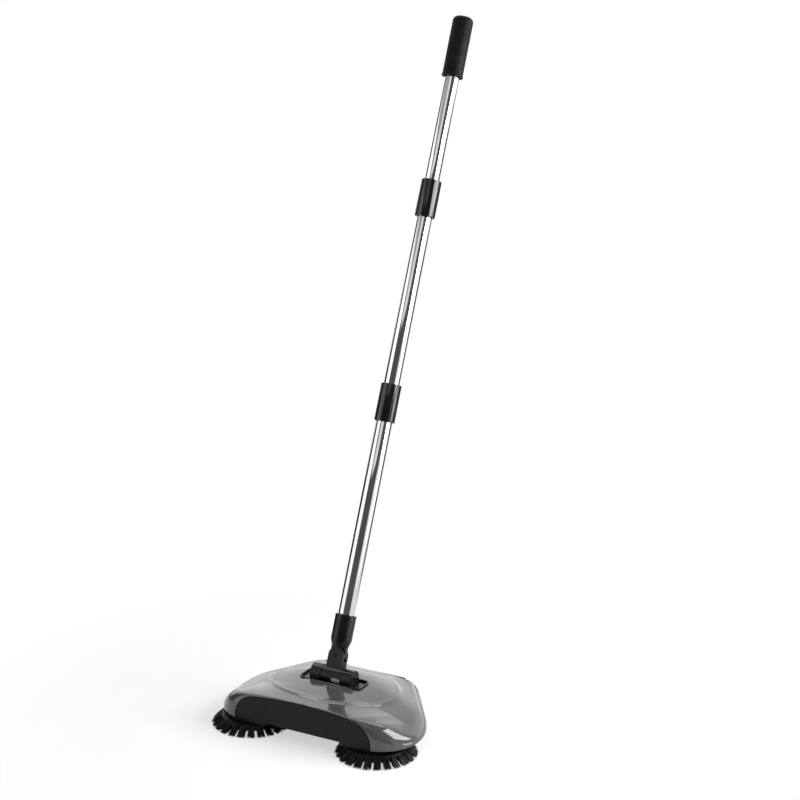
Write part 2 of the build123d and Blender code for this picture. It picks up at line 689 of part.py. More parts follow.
# Grip: closed at the top, with a small rim at its foot
with BuildPart() as hand_grip:
    with BuildSketch(POLE_SECTION):
        with BuildLine():
            Polyline(
                (upper_radius + PRESS_GAP, grip_foot),
                (GRIP_RIM_DIAMETER / 2, grip_foot),
                (GRIP_RIM_DIAMETER / 2, grip_foot + GRIP_RIM_LENGTH / 2),
                (GRIP_DIAMETER / 2, grip_foot + GRIP_RIM_LENGTH),
                (GRIP_DIAMETER / 2, grip_top - GRIP_CROWN_RADIUS),
            )
            crown_start = GRIP_DIAMETER / 2 - GRIP_CROWN_RADIUS
            RadiusArc(
                (GRIP_DIAMETER / 2, grip_top - GRIP_CROWN_RADIUS), (crown_start, grip_top), -GRIP_CROWN_RADIUS
            )
            Polyline(
                (crown_start, grip_top),
                (0, grip_top),
                (0, grip_foot + GRIP_DEPTH),
                (upper_radius + PRESS_GAP, grip_foot + GRIP_DEPTH),
                (upper_radius + PRESS_GAP, grip_foot),
            )
        make_face()
    revolve(axis=POLE_AXIS)
save(hand_grip.part, "hand_grip")


def tuft_strands(side):
    """Strands of one side brush: tufts all round, fanned out and down from the ring to the floor."""
    strands = []
    root_radius = DISC_RADIUS - STRAND_SIDE
    root_z = disc_foot - TUFT_RING_DEPTH / 2
    for tuft in range(TUFTS):
        middle = 2 * pi * tuft / TUFTS
        for strand in range(TUFT_STRANDS):
            place = strand - (TUFT_STRANDS - 1) / 2
            root_turn = middle + place * STRAND_PITCH_ROOT / root_radius
            tip_turn = middle + place * STRAND_PITCH_TIP / BRUSH_RADIUS
            root = Vector(root_radius * cos(root_turn), root_radius * sin(root_turn), root_z)
            tip = Vector(BRUSH_RADIUS * cos(tip_turn), BRUSH_RADIUS * sin(tip_turn), STRAND_TIP_Z)
            centre = Vector(side * brush_x, brush_y, 0)
            across = Vector(-sin(middle), cos(middle), 0)
            run = tip - root
            face = Plane(origin=centre + root, x_dir=across, z_dir=run)
            strands.append(
                face
                * Box(
                    STRAND_SIDE,
                    STRAND_SIDE,
                    run.length,
                    align=(Align.CENTER, Align.CENTER, Align.MIN),
                )
            )
    return strands


# Side brushes: a disc below the plate, its tufts, and a face gear whose journal turns in the plate
for side, tag in SIDES:
    centre = (side * brush_x, brush_y)
    strands = tuft_strands(side)
    with BuildPart() as brush_bristles:
        with BuildSketch(Plane((*centre, disc_foot))):
            Circle(DISC_RADIUS)
            Circle(DISC_RADIUS - TUFT_RING_WIDTH, mode=Mode.SUBTRACT)
        extrude(amount=-TUFT_RING_DEPTH)
        add(strands)
    save(brush_bristles.part, f"brush_bristles_{tag}")

    with BuildPart() as brush_disc:
        with BuildSketch(Plane((*centre, disc_foot))):
            Circle(DISC_RADIUS)
            Circle(BRUSH_SCREW_DIAMETER / 2 + PRESS_GAP, mode=Mode.SUBTRACT)
        extrude(amount=DISC_THICKNESS)
        chamfer(brush_disc.faces().sort_by(Axis.Z)[-1].outer_wire().edges(), DISC_CHAMFER)
    save(brush_disc.part, f"brush_disc_{tag}")

    with BuildPart() as brush_gear:
        with BuildSketch(Plane((*centre, disc_top))):
            Circle(GEAR_JOURNAL_RADIUS - RUN_GAP)
        extrude(amount=gear_root_z - disc_top)
        with BuildSketch(Plane((*centre, gear_flange_z))):
            Circle(GEAR_JOURNAL_RADIUS + GEAR_FLANGE_OVERHANG)
        extrude(amount=GEAR_FLANGE_THICKNESS)
        half_angle = radians(GEAR_TOOTH_ANGLE) / 2
        tooth_start = gear_pitch_radius - GEAR_TOOTH_LENGTH / 2
        tooth_end = gear_pitch_radius + GEAR_TOOTH_LENGTH / 2
        with BuildSketch(Plane((*centre, gear_root_z))):
            with PolarLocations(0, GEAR_TEETH, start_angle=180 / GEAR_TEETH):
                Polygon(
                    (tooth_start, -tooth_start * tan(half_angle)),
                    (tooth_end, -tooth_end * tan(half_angle)),
                    (tooth_end, tooth_end * tan(half_angle)),
                    (tooth_start, tooth_start * tan(half_angle)),
                    align=None,
                )
        extrude(amount=GEAR_TOOTH_HEIGHT)
        with BuildSketch(Plane((*centre, disc_top))):
            Circle(BRUSH_SCREW_DIAMETER / 2 + PRESS_GAP)
        extrude(amount=gear_root_z - disc_top, mode=Mode.SUBTRACT)
    save(brush_gear.part, f"brush_gear_{tag}")

    with BuildPart() as brush_screw:
        with Locations((*centre, disc_foot)):
            Cylinder(
                BRUSH_SCREW_DIAMETER / 2,
                gear_root_z - disc_foot,
                align=(Align.CENTER, Align.CENTER, Align.MIN),
            )
            Cylinder(
                BRUSH_SCREW_HEAD_DIAMETER / 2,
                BRUSH_SCREW_HEAD_HEIGHT,
                align=(Align.CENTER, Align.CENTER, Align.MAX),
            )
    save(brush_screw.part, f"brush_screw_{tag}")

# Sweeping roller: shaft, core, a skin with its rows of strands, and the wheels on the shaft's ends
with BuildPart() as roller_shaft:
    cross_rod((-pinion_outer_x, pinion_outer_x), brush_y, roller_z, ROLLER_SHAFT_DIAMETER / 2)
save(roller_shaft.part, "roller_shaft")

with BuildPart() as roller_core:
    cross_rod((-roller_end, roller_end), brush_y, roller_z, ROLLER_CORE_DIAMETER / 2)
    cross_rod(
        (-roller_end, roller_end),
        brush_y,
        roller_z,
        ROLLER_SHAFT_DIAMETER / 2 + PRESS_GAP,
        Mode.SUBTRACT,
    )
save(roller_core.part, "roller_core")

skin_radius = ROLLER_CORE_DIAMETER / 2 + ROLLER_SKIN
row_end = roller_skin_end - ROLLER_SKIN
strand_step = 2 * row_end / (ROLLER_ROW_STRANDS - 1)
roller_strands = []
for row in range(ROLLER_ROWS):
    turn = 2 * pi * row / ROLLER_ROWS
    outward = Vector(0, cos(turn), sin(turn))
    for place in range(ROLLER_ROW_STRANDS):
        root = Vector(place * strand_step - row_end, brush_y, roller_z)
        root += outward * (skin_radius - ROLLER_SKIN / 2)
        roller_strands.append(
            Plane(origin=root, x_dir=(1, 0, 0), z_dir=outward)
            * Box(
                ROLLER_STRAND_SIDE,
                ROLLER_STRAND_SIDE,
                roller_radius - skin_radius + ROLLER_SKIN / 2,
                align=(Align.CENTER, Align.CENTER, Align.MIN),
            )
        )
with BuildPart() as roller_bristles:
    skin_span = (-roller_skin_end, roller_skin_end)
    cross_rod(skin_span, brush_y, roller_z, skin_radius)
    cross_rod(skin_span, brush_y, roller_z, ROLLER_CORE_DIAMETER / 2 + PRESS_GAP, Mode.SUBTRACT)
    add(roller_strands)
save(roller_bristles.part, "roller_bristles")

for side, tag in SIDES:
    with BuildPart() as roller_pulley:
        cross_rod((side * pulley_inner_x, side * pulley_outer_x), brush_y, roller_z, roller_pulley_radius)
        cross_rod(
            (side * pulley_inner_x, side * pulley_outer_x),
            brush_y,
            roller_z,
            ROLLER_SHAFT_DIAMETER / 2 + PRESS_GAP,
            Mode.SUBTRACT,
        )
    save(roller_pulley.part, f"roller_pulley_{tag}")

    with BuildPart() as roller_pinion:
        tip_radius = pinion_pitch_radius + PINION_ADDENDUM
        root_radius = pinion_pitch_radius - PINION_DEDENDUM
        start_x = min(side * pinion_inner_x, side * pinion_outer_x)
        with BuildSketch(Plane(origin=(start_x, brush_y, roller_z), x_dir=(0, 1, 0), z_dir=(1, 0, 0))):
            Circle(root_radius)
            with PolarLocations(0, PINION_TEETH):
                Polygon(
                    (root_radius - PINION_TOOTH_TIP, -PINION_TOOTH_ROOT / 2),
                    (tip_radius, -PINION_TOOTH_TIP / 2),
                    (tip_radius, PINION_TOOTH_TIP / 2),
                    (root_radius - PINION_TOOTH_TIP, PINION_TOOTH_ROOT / 2),
                    align=None,
                )
            Circle(ROLLER_SHAFT_DIAMETER / 2 + PRESS_GAP, mode=Mode.SUBTRACT)
        extrude(amount=PINION_FACE)
    save(roller_pinion.part, f"roller_pinion_{tag}")

    with BuildPart() as roller_bush:
        cross_rod((side * bulkhead_x, side * bulkhead_outer), brush_y, roller_z, BUSH_DIAMETER / 2)
        cross_rod(
            (side * bulkhead_outer, side * (bulkhead_outer + BUSH_FLANGE)),
            brush_y,
            roller_z,
            BUSH_FLANGE_DIAMETER / 2,
        )
        cross_rod(
            (side * bulkhead_x, side * (bulkhead_outer + BUSH_FLANGE)),
            brush_y,
            roller_z,
            ROLLER_SHAFT_DIAMETER / 2 + RUN_GAP,
            Mode.SUBTRACT,
        )
    save(roller_bush.part, f"roller_bush_{tag}")

# Drive wheels: axle, hub with its belt pulley, and tyre
for side, tag in SIDES:
    with BuildPart() as wheel_axle:
        cross_rod(
            (side * bulkhead_x, side * (post_x + WHEEL_POST_THICKNESS)),
            WHEEL_Y,
            WHEEL_RADIUS,
            AXLE_DIAMETER / 2,
        )
    save(wheel_axle.part, f"wheel_axle_{tag}")

    hub_radius = WHEEL_RADIUS - TYRE_THICKNESS
    with BuildPart() as wheel_hub:
        cross_rod((side * wheel_inner_x, side * wheel_outer_x), WHEEL_Y, WHEEL_RADIUS, hub_radius)
        cross_rod(
            (side * (wheel_outer_x - HUB_RECESS), side * wheel_outer_x),
            WHEEL_Y,
            WHEEL_RADIUS,
            hub_radius - HUB_RIM,
            Mode.SUBTRACT,
        )
        cross_rod(
            (side * wheel_inner_x, side * (post_x - SIDE_GAP)), WHEEL_Y, WHEEL_RADIUS, HUB_BOSS_DIAMETER / 2
        )
        cross_rod((side * pulley_inner_x, side * wheel_inner_x), WHEEL_Y, WHEEL_RADIUS, WHEEL_PULLEY_RADIUS)
        cross_rod(
            (side * pulley_inner_x, side * (post_x - SIDE_GAP)),
            WHEEL_Y,
            WHEEL_RADIUS,
            AXLE_DIAMETER / 2 + RUN_GAP,
            Mode.SUBTRACT,
        )
    save(wheel_hub.part, f"wheel_hub_{tag}")

    with BuildPart() as wheel_tyre:
        cross_rod((side * wheel_inner_x, side * wheel_outer_x), WHEEL_Y, WHEEL_RADIUS, WHEEL_RADIUS)
        cross_rod(
            (side * wheel_inner_x, side * wheel_outer_x),
            WHEEL_Y,
            WHEEL_RADIUS,
            hub_radius + PRESS_GAP,
            Mode.SUBTRACT,
        )
    save(wheel_tyre.part, f"wheel_tyre_{tag}")

    with BuildPart() as drive_belt:
        belt_start = min(side * belt_x, side * (belt_x + BELT_WIDTH))
        for growth, mode in ((BELT_SLACK + BELT_THICKNESS, Mode.ADD), (BELT_SLACK, Mode.SUBTRACT)):
            with BuildSketch(Plane.YZ.offset(belt_start)):
                with Locations((WHEEL_Y, WHEEL_RADIUS)):
                    Circle(WHEEL_PULLEY_RADIUS + growth)
                with Locations((brush_y, roller_z)):
                    Circle(roller_pulley_radius + growth)
                make_hull()
            extrude(amount=BELT_WIDTH, mode=mode)
    save(drive_belt.part, f"drive_belt_{tag}")

# Rear casters
for side, tag in SIDES:
    caster_inner = caster_x - CASTER_WIDTH / 2
    caster_outer = caster_x + CASTER_WIDTH / 2
    with BuildPart() as caster_wheel:
        cross_rod((side * caster_inner, side * caster_outer), caster_y, CASTER_RADIUS, CASTER_RADIUS)
        cross_rod(
            (side * caster_inner, side * caster_outer),
            caster_y,
            CASTER_RADIUS,
            CASTER_PIN_DIAMETER / 2 + RUN_GAP,
            Mode.SUBTRACT,
        )
    save(caster_wheel.part, f"caster_wheel_{tag}")

    pin_inner = caster_inner - SIDE_GAP - FORK_THICKNESS
    pin_outer = caster_outer + SIDE_GAP + FORK_THICKNESS
    with BuildPart() as caster_pin:
        cross_rod((side * pin_inner, side * pin_outer), caster_y, CASTER_RADIUS, CASTER_PIN_DIAMETER / 2)
    save(caster_pin.part, f"caster_pin_{tag}")

# Dust box: hangs by its flanges on the rails, and its fascia closes the cover's rear arch
with BuildPart() as dust_box:
    rear_arch = arch(REAR_Y, COVER_WALL + PANEL_GAP, REAR_PLATE_FOOT_Z)
    extrude(rear_arch, amount=REAR_PLATE_THICKNESS)
    extrude(rear_arch, amount=-SIDE_GAP)
    fascia_end = half_width(REAR_Y) - FASCIA_INSET
    fascia_top = crest(REAR_Y) - FASCIA_DROP
    fascia_y = REAR_Y + SIDE_GAP
    with BuildSketch(Plane.XZ.offset(-fascia_y)):
        with Locations((0, fascia_top - FASCIA_HEIGHT / 2)):
            RectangleRounded(2 * fascia_end, FASCIA_HEIGHT, FASCIA_CORNER_RADIUS)
    extrude(amount=-FASCIA_THICKNESS)
    span_box((-box_half_width, box_half_width), (box_front_y, box_rear_y), (BOX_FLOOR_Z, box_flange_z))
    span_box(
        (-box_half_width + BOX_WALL, box_half_width - BOX_WALL),
        (box_front_y + BOX_WALL, box_rear_y),
        (BOX_FLOOR_Z + BOX_FLOOR, box_flange_z),
        Mode.SUBTRACT,
    )
    span_box(
        (-box_half_width + BOX_WALL, box_half_width - BOX_WALL),
        (box_front_y, box_front_y + BOX_WALL),
        (BOX_FLOOR_Z + BOX_LIP_HEIGHT, box_flange_z),
        Mode.SUBTRACT,
    )
    for side, tag in SIDES:
        span_box(
            (side * (box_half_width - BOX_WALL), side * (bulkhead_x - SIDE_GAP)),
            (box_front_y, bulkhead_rear_y),
            (box_flange_z, box_flange_z + BOX_FLANGE),
        )
    pull_y = fascia_y + FASCIA_THICKNESS
    pull_top = fascia_top - PULL_DROP
    span_box(
        (-PULL_WIDTH / 2, PULL_WIDTH / 2),
        (pull_y, pull_y + PULL_DEPTH),
        (pull_top - PULL_THICKNESS, pull_top),
    )
save(dust_box.part, "dust_box")

with BuildPart() as dust_lip:
    span_box(
        (-dust_lip_end, dust_lip_end),
        (dust_lip_front_y, box_front_y),
        (DUST_LIP_FOOT_Z, BOX_FLOOR_Z + BOX_LIP_HEIGHT),
    )
save(dust_lip.part, "dust_lip")
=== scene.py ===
"""Looks of a push sweeper: a domed grey cover on two side brushes, and a bright sliding pole.

All places are in metres in the part's own frame. The front is -Y and +Z is up.
"""
import json
import random
from math import atan2, cos, exp, hypot, pi, radians, sin, sqrt, tan

import bmesh
import bpy
from mathutils import Euler, Matrix, Vector


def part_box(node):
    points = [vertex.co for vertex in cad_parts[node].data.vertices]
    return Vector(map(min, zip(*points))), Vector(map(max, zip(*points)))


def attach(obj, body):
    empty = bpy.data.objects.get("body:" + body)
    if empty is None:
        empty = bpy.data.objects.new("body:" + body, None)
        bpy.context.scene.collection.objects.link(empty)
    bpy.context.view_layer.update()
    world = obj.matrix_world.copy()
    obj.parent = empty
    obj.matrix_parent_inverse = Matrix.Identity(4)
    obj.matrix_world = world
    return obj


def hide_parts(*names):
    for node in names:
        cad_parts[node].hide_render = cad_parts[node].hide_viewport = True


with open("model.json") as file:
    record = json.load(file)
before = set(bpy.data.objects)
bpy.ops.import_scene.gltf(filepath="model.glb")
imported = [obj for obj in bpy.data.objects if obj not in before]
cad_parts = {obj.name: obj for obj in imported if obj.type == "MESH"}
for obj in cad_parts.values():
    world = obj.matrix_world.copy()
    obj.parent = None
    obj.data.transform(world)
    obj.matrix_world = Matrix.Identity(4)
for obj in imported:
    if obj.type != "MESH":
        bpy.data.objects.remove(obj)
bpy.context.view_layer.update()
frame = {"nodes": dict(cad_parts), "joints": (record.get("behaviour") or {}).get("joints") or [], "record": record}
random.seed(7)

MM = 0.001
JOINTS = {joint["name"]: joint for joint in frame["joints"]}
BODIES = frame["record"]["behaviour"]["bodies"]
BODY_OF = {node: body for body, nodes in BODIES.items() for node in nodes}
SIDES = ("right", "left")
ACROSS = Vector((1, 0, 0))
BACK = Vector((0, 1, 0))
UP = Vector((0, 0, 1))

# Pole: the place that it tilts about, its direction, and how far it leans back
PIVOT = Vector(JOINTS["pole_tilt"]["pos_m"])
POLE = Vector(JOINTS["middle_tube_slide"]["axis"]).normalized()
POLE_LEAN = atan2(POLE.y, POLE.z)


# Colour and shader helpers

# Part of a cloudy pattern's range over which it goes from its low to its high end
CLOUD_RANGE = (0.35, 0.65)


def linear(colour):
    """Linear colour of an sRGB hex value."""
    shades = [(colour >> shift & 255) / 255 for shift in (16, 8, 0)]
    return [s / 12.92 if s <= 0.04045 else ((s + 0.055) / 1.055) ** 2.4 for s in shades] + [1]


def add(tree, kind, inputs=None, **settings):
    """Adds a node, sets its properties, and sets or links its inputs."""
    made = tree.nodes.new(kind)
    for name, value in settings.items():
        setattr(made, name, value)
    for name, value in (inputs or {}).items():
        if isinstance(value, bpy.types.NodeSocket):
            tree.links.new(value, made.inputs[name])
        else:
            made.inputs[name].default_value = value
    return made


def finish(name, **sockets):
    """New material with its tree, its shader with constants set, and the place on the piece."""
    made = bpy.data.materials.new(name)
    made.use_nodes = True
    tree = made.node_tree
    shader = tree.nodes["Principled BSDF"]
    for socket, value in sockets.items():
        shader.inputs[socket.replace("_", " ")].default_value = value
    place = add(tree, "ShaderNodeTexCoord").outputs["Object"]
    return made, tree, shader, place


def per(size):
    """Pattern scale that repeats about once in a size given in millimetres."""
    return 1 / (size * MM)


def mottle(tree, place, size, low, high, detail):
    """Two values or two colours mixed by a cloudy pattern of a size in millimetres."""
    cloud = add(tree, "ShaderNodeTexNoise", {"Vector": place, "Scale": per(size), "Detail": detail})
    ramp = add(tree, "ShaderNodeValToRGB", {"Fac": cloud.outputs["Fac"]})
    for element, position, value in zip(ramp.color_ramp.elements, CLOUD_RANGE, (low, high)):
        element.position = position
        element.color = value if isinstance(value, list) else (value, value, value, 1)
    return ramp.outputs["Color"]


def tint(tree, shader, place, size, dark, light, detail=2.0):
    """Cloudy colour between two hex values on a shader, of a size in millimetres."""
    shade = mottle(tree, place, size, linear(dark), linear(light), detail)
    tree.links.new(shade, shader.inputs["Base Color"])


def haze(tree, shader, place, size, low, high, detail=2.0):
    """Cloudy roughness between two values on a shader, of a size in millimetres."""
    tree.links.new(mottle(tree, place, size, low, high, detail), shader.inputs["Roughness"])


def ranged(tree, value, source, result=(0.0, 1.0), **settings):
    """Value carried from one range to another."""
    ends = {"From Min": source[0], "From Max": source[1], "To Min": result[0], "To Max": result[1]}
    return add(tree, "ShaderNodeMapRange", {"Value": value, **ends}, **settings).outputs["Result"]


def relief(tree, shader, height, depth, strength=1.0):
    """Fine relief of a depth in millimetres on a shader."""
    bump = add(tree, "ShaderNodeBump", {"Height": height, "Distance": depth * MM, "Strength": strength})
    tree.links.new(bump.outputs["Normal"], shader.inputs["Normal"])


# Materials


def gloss_moulded_abs(name, light, dark, low, high, mirror=0.5):
    """ABS from a polished mould: a deep even gloss with a faint orange peel and a little haze."""
    made, tree, shader, place = finish(name, IOR=1.53, Specular_IOR_Level=mirror)
    tint(tree, shader, place, 46, dark, light)
    haze(tree, shader, place, 17, low, high, detail=4.0)
    peel = add(tree, "ShaderNodeTexNoise", {"Vector": place, "Scale": per(3.5), "Detail": 1.0})
    relief(tree, shader, peel.outputs["Fac"], depth=0.012)
    return made


def grained_abs(name, light, dark, mirror):
    """ABS from a spark-eroded mould: a satin face that breaks the light up in a fine even grain.

    The pits shade each other, so it mirrors less than a smooth face. The real grain is about 0.2 mm.
    It is drawn at 0.7 mm so that it shows.
    """
    made, tree, shader, place = finish(name, IOR=1.53, Specular_IOR_Level=mirror)
    tint(tree, shader, place, 30, dark, light)
    haze(tree, shader, place, 9, 0.34, 0.46, detail=4.0)
    grain = add(tree, "ShaderNodeTexVoronoi", {"Vector": place, "Scale": per(0.7)})
    relief(tree, shader, grain.outputs["Distance"], depth=0.03, strength=0.5)
    return made


def polished_stainless():
    """Drawn and polished stainless steel tube: a mirror with faint streaks along its length.

    The polishing lines are about 0.05 mm apart. They are drawn at 0.6 mm so that they show.
    """
    made, tree, shader, place = finish("polished_drawn_stainless_tube", Metallic=1.0)
    upright = add(tree, "ShaderNodeMapping", {"Vector": place, "Rotation": (POLE_LEAN, 0, 0)})
    streaked = add(
        tree,
        "ShaderNodeMapping",
        {"Vector": upright.outputs["Vector"], "Scale": (per(0.6), per(0.6), per(60))},
    )
    drawn = {"Vector": streaked.outputs["Vector"], "Scale": 1.0, "Detail": 3.0}
    streak = add(tree, "ShaderNodeTexNoise", drawn).outputs["Fac"]
    shine = ranged(tree, streak, (0.3, 0.7), (0.02, 0.06))
    tree.links.new(shine, shader.inputs["Roughness"])
    tint(tree, shader, place, 38, 0xCFD0D0, 0xD9D9D7)
    relief(tree, shader, streak, depth=0.0006)
    return made


def turned_steel(name, light, dark, low, high):
    """Turned steel bar: fine rings left by the cutter, under a plating or blacking that evens them."""
    made, tree, shader, place = finish(name, Metallic=1.0)
    tint(tree, shader, place, 5, dark, light)
    haze(tree, shader, place, 2, low, high, detail=4.0)
    rings = add(tree, "ShaderNodeTexWave", {"Vector": place, "Scale": per(3), "Distortion": 1.5})
    relief(tree, shader, rings.outputs["Fac"], depth=0.01, strength=0.4)
    return made


def dimpled_pvc():
    """Dip-moulded PVC grip: dull and slightly soft, with small pits in rows that catch the light."""
    made, tree, shader, place = finish("dip_moulded_pvc_grip", IOR=1.52, Specular_IOR_Level=0.1)
    tint(tree, shader, place, 14, 0x0C0C0C, 0x131312)
    haze(tree, shader, place, 6, 0.48, 0.62, detail=4.0)
    pits = add(tree, "ShaderNodeTexVoronoi", {"Vector": place, "Scale": per(2.4), "Randomness": 0.35})
    edge = ranged(tree, pits.outputs["Distance"], (0.18, 0.4))
    relief(tree, shader, edge, depth=0.08, strength=0.5)
    return made


def nylon_filament():
    """Drawn black nylon bristle: a waxy sheen that differs a little from strand to strand."""
    made, tree, shader, place = finish("drawn_nylon_bristle", IOR=1.53, Specular_IOR_Level=0.2)
    tint(tree, shader, place, 1.6, 0x040404, 0x0C0C0B)
    haze(tree, shader, place, 3, 0.34, 0.52)
    return made


def moulded_rubber():
    """Moulded black rubber: nearly matt, with a bloom of grey and a fine sandy skin."""
    made, tree, shader, place = finish("moulded_black_rubber", IOR=1.52)
    tint(tree, shader, place, 7, 0x161615, 0x23221F, detail=5.0)
    haze(tree, shader, place, 4, 0.62, 0.8, detail=4.0)
    skin = add(tree, "ShaderNodeTexNoise", {"Vector": place, "Scale": per(0.8), "Detail": 3.0})
    relief(tree, shader, skin.outputs["Fac"], depth=0.05, strength=0.5)
    return made


def natural_nylon():
    """Moulded natural nylon: a milky off-white that lets a little light in under its satin skin."""
    made, tree, shader, place = finish(
        "moulded_natural_nylon", IOR=1.53, Subsurface_Weight=0.15, Subsurface_Scale=2 * MM
    )
    tint(tree, shader, place, 6, 0xD9D6CB, 0xE6E3DA)
    haze(tree, shader, place, 3, 0.36, 0.48)
    return made


def silver_lacquer():
    """Silver lacquer on a plate left bare: fine metal flakes that glint a little in a pale satin coat."""
    made, tree, shader, place = finish("silver_lacquered_plate", Metallic=0.35, IOR=1.5)
    tint(tree, shader, place, 0.6, 0xABACAA, 0xC4C5C2)
    haze(tree, shader, place, 1, 0.34, 0.5)
    flakes = add(tree, "ShaderNodeTexNoise", {"Vector": place, "Scale": per(0.3), "Detail": 3.0})
    relief(tree, shader, flakes.outputs["Fac"], depth=0.006, strength=0.5)
    return made


GREY_ABS = gloss_moulded_abs("gloss_moulded_grey_abs", 0x484847, 0x444443, 0.05, 0.09)
SLEEVE_ABS = gloss_moulded_abs("gloss_moulded_black_abs", 0x121211, 0x0E0E0D, 0.07, 0.12, 0.42)
BLACK_ABS = gloss_moulded_abs("satin_moulded_black_abs", 0x121211, 0x0E0E0D, 0.2, 0.3, 0.22)
PANEL_ABS = grained_abs("spark_grained_black_abs", 0x171614, 0x131210, 0.15)
INNER_ABS = grained_abs("plain_moulded_black_abs", 0x0D0D0C, 0x090908, 0.08)
STAINLESS = polished_stainless()
ZINC_STEEL = turned_steel("zinc_plated_turned_steel", 0xB9BABC, 0x9FA1A4, 0.28, 0.4)
BLACKED_STEEL = turned_steel("blacked_turned_steel", 0x2A2A2B, 0x1D1D1E, 0.35, 0.5)
GRIP_PVC = dimpled_pvc()
BRISTLE_NYLON = nylon_filament()
RUBBER = moulded_rubber()
WHITE_NYLON = natural_nylon()
BARE_PLATE = silver_lacquer()


# Mesh helpers

WELD = 0.001 * MM
SHARP_FROM = radians(35)
ROUND_FROM = radians(32)
LEVEL_WITHIN = radians(0.5)


def mesh_object(name, form, material=None):
    """Object in the scene with the shape of a bmesh."""
    mesh = bpy.data.meshes.new(name)
    form.to_mesh(mesh)
    form.free()
    if material:
        mesh.materials.append(material)
    made = bpy.data.objects.new(name, mesh)
    bpy.context.scene.collection.objects.link(made)
    return made


def piece(name, form, material, body, stands_for=()):
    """Piece from a bmesh, smooth but at sharp corners, that rides on a body and stands for solids."""
    bmesh.ops.remove_doubles(form, verts=form.verts, dist=WELD)
    bmesh.ops.recalc_face_normals(form, faces=form.faces)
    made = mesh_object(name, form, material)
    made.data.shade_smooth()
    made.data.set_sharp_from_angle(angle=SHARP_FROM)
    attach(made, body)
    if stands_for:
        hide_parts(*stands_for)
    return made


def form_of(points, faces):
    """Bmesh from points and faces."""
    form = bmesh.new()
    vertices = [form.verts.new(point) for point in points]
    for face in faces:
        form.faces.new([vertices[i] for i in face])
    return form


def rounded(corners, steps=6):
    """Closed outline whose corners (x, y, radius) are turned into arcs."""
    outline = []
    for i, (x, y, radius) in enumerate(corners):
        corner = Vector((x, y))
        if not radius:
            outline.append((x, y))
            continue
        before = (Vector(corners[i - 1][:2]) - corner).normalized()
        after = (Vector(corners[(i + 1) % len(corners)][:2]) - corner).normalized()
        half = before.angle(after) / 2
        centre = corner + (before + after).normalized() * radius / sin(half)
        start = corner + before * radius / tan(half) - centre
        end = corner + after * radius / tan(half) - centre
        bend = start.angle(end)
        for step in range(steps + 1):
            share = step / steps
            arm = (start * sin((1 - share) * bend) + end * sin(share * bend)) / sin(bend)
            outline.append(tuple(centre + arm))
    return outline


def turned(profile, steps=96, middle=PIVOT, axis=POLE, across=ACROSS):
    """Closed profile of (along, out) pairs turned round the pole, or round another axis."""
    points, faces = [], []
    beyond = axis.cross(across)
    for along, out in profile:
        for step in range(steps):
            turn = 2 * pi * step / steps
            points.append(middle + axis * along + (across * cos(turn) + beyond * sin(turn)) * out)
    for i in range(len(profile)):
        ring, above = i * steps, (i + 1) % len(profile) * steps
        for step in range(steps):
            beside = (step + 1) % steps
            faces.append((ring + step, ring + beside, above + beside, above + step))
    return form_of(points, faces)


def pole_places(node):
    """Distance of each corner of a solid along the pole from the tilt axis, and out from its middle."""
    places = []
    for vertex in frame["nodes"][node].data.vertices:
        offset = vertex.co - PIVOT
        along = offset.dot(POLE)
        places.append((along, (offset - POLE * along).length))
    return places


def pole_span(node):
    """Lowest and highest place of a solid along the pole, and its least and largest radius."""
    heights, radii = zip(*pole_places(node))
    return min(heights), max(heights), min(radii), max(radii)


def applied(made):
    """Puts a piece's modifiers into its mesh."""
    bpy.context.view_layer.update()
    view = bpy.context.evaluated_depsgraph_get()
    shaped = made.evaluated_get(view)
    mesh = bpy.data.meshes.new_from_object(shaped, preserve_all_data_layers=True, depsgraph=view)
    made.modifiers.clear()
    made.data = mesh


def softened(node, width, material):
    """Piece with a solid's shape, its edges rounded and its flat faces shaded flat, standing for it."""
    form = bmesh.new()
    form.from_mesh(frame["nodes"][node].data)
    bmesh.ops.remove_doubles(form, verts=form.verts, dist=WELD)
    bmesh.ops.dissolve_limit(form, angle_limit=LEVEL_WITHIN, verts=form.verts, edges=form.edges)
    corners = [edge for edge in form.edges if edge.is_manifold and edge.calc_face_angle() > ROUND_FROM]
    bmesh.ops.bevel(
        form, geom=corners, offset=width, segments=3, profile=0.5, affect="EDGES", clamp_overlap=True
    )
    made = piece(f"{node}_moulded", form, material, BODY_OF[node], (node,))
    even = made.modifiers.new("even_shading", "WEIGHTED_NORMAL")
    even.keep_sharp = True
    even.weight = 100
    applied(made)
    return made


# Cover: the plan, crest and section of its solid, with a raised island and a shoulder line in its top

COVER_LOW, COVER_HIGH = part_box("top_shell")
COVER_WALL = 2.4 * MM
SPRING_Z = 20.5 * MM
FRONT_CORNER_RADIUS = 55 * MM
FRONT_CORNER_TURN = radians(74.5)
SIDE_RADIUS = 95 * MM
REAR_TAPER = radians(34)
CREST_Y = 10 * MM
FRONT_DROP = 3 * MM
REAR_DROP = 17 * MM
EDGE_RADIUS_FRONT = 34 * MM
EDGE_RADIUS_SIDE = 20 * MM
EDGE_RADIUS_REAR = 23.4 * MM
WIDEST_Y = COVER_LOW.y + FRONT_CORNER_RADIUS * sin(FRONT_CORNER_TURN)
TAPER_Y = WIDEST_Y + SIDE_RADIUS * sin(REAR_TAPER)

# Island: an oval step round the bracket with a fine lip
ISLAND = {
    "y": 4 * MM, "x_reach": 88 * MM, "y_reach": 68 * MM, "end_y": 30 * MM, "end_fade": 40 * MM,
    "lip": 0.5 * MM, "lip_width": 1.5 * MM, "lip_round": 0.8 * MM,
    "drop": 1.0 * MM, "step": 5 * MM, "fade": 30 * MM,
}
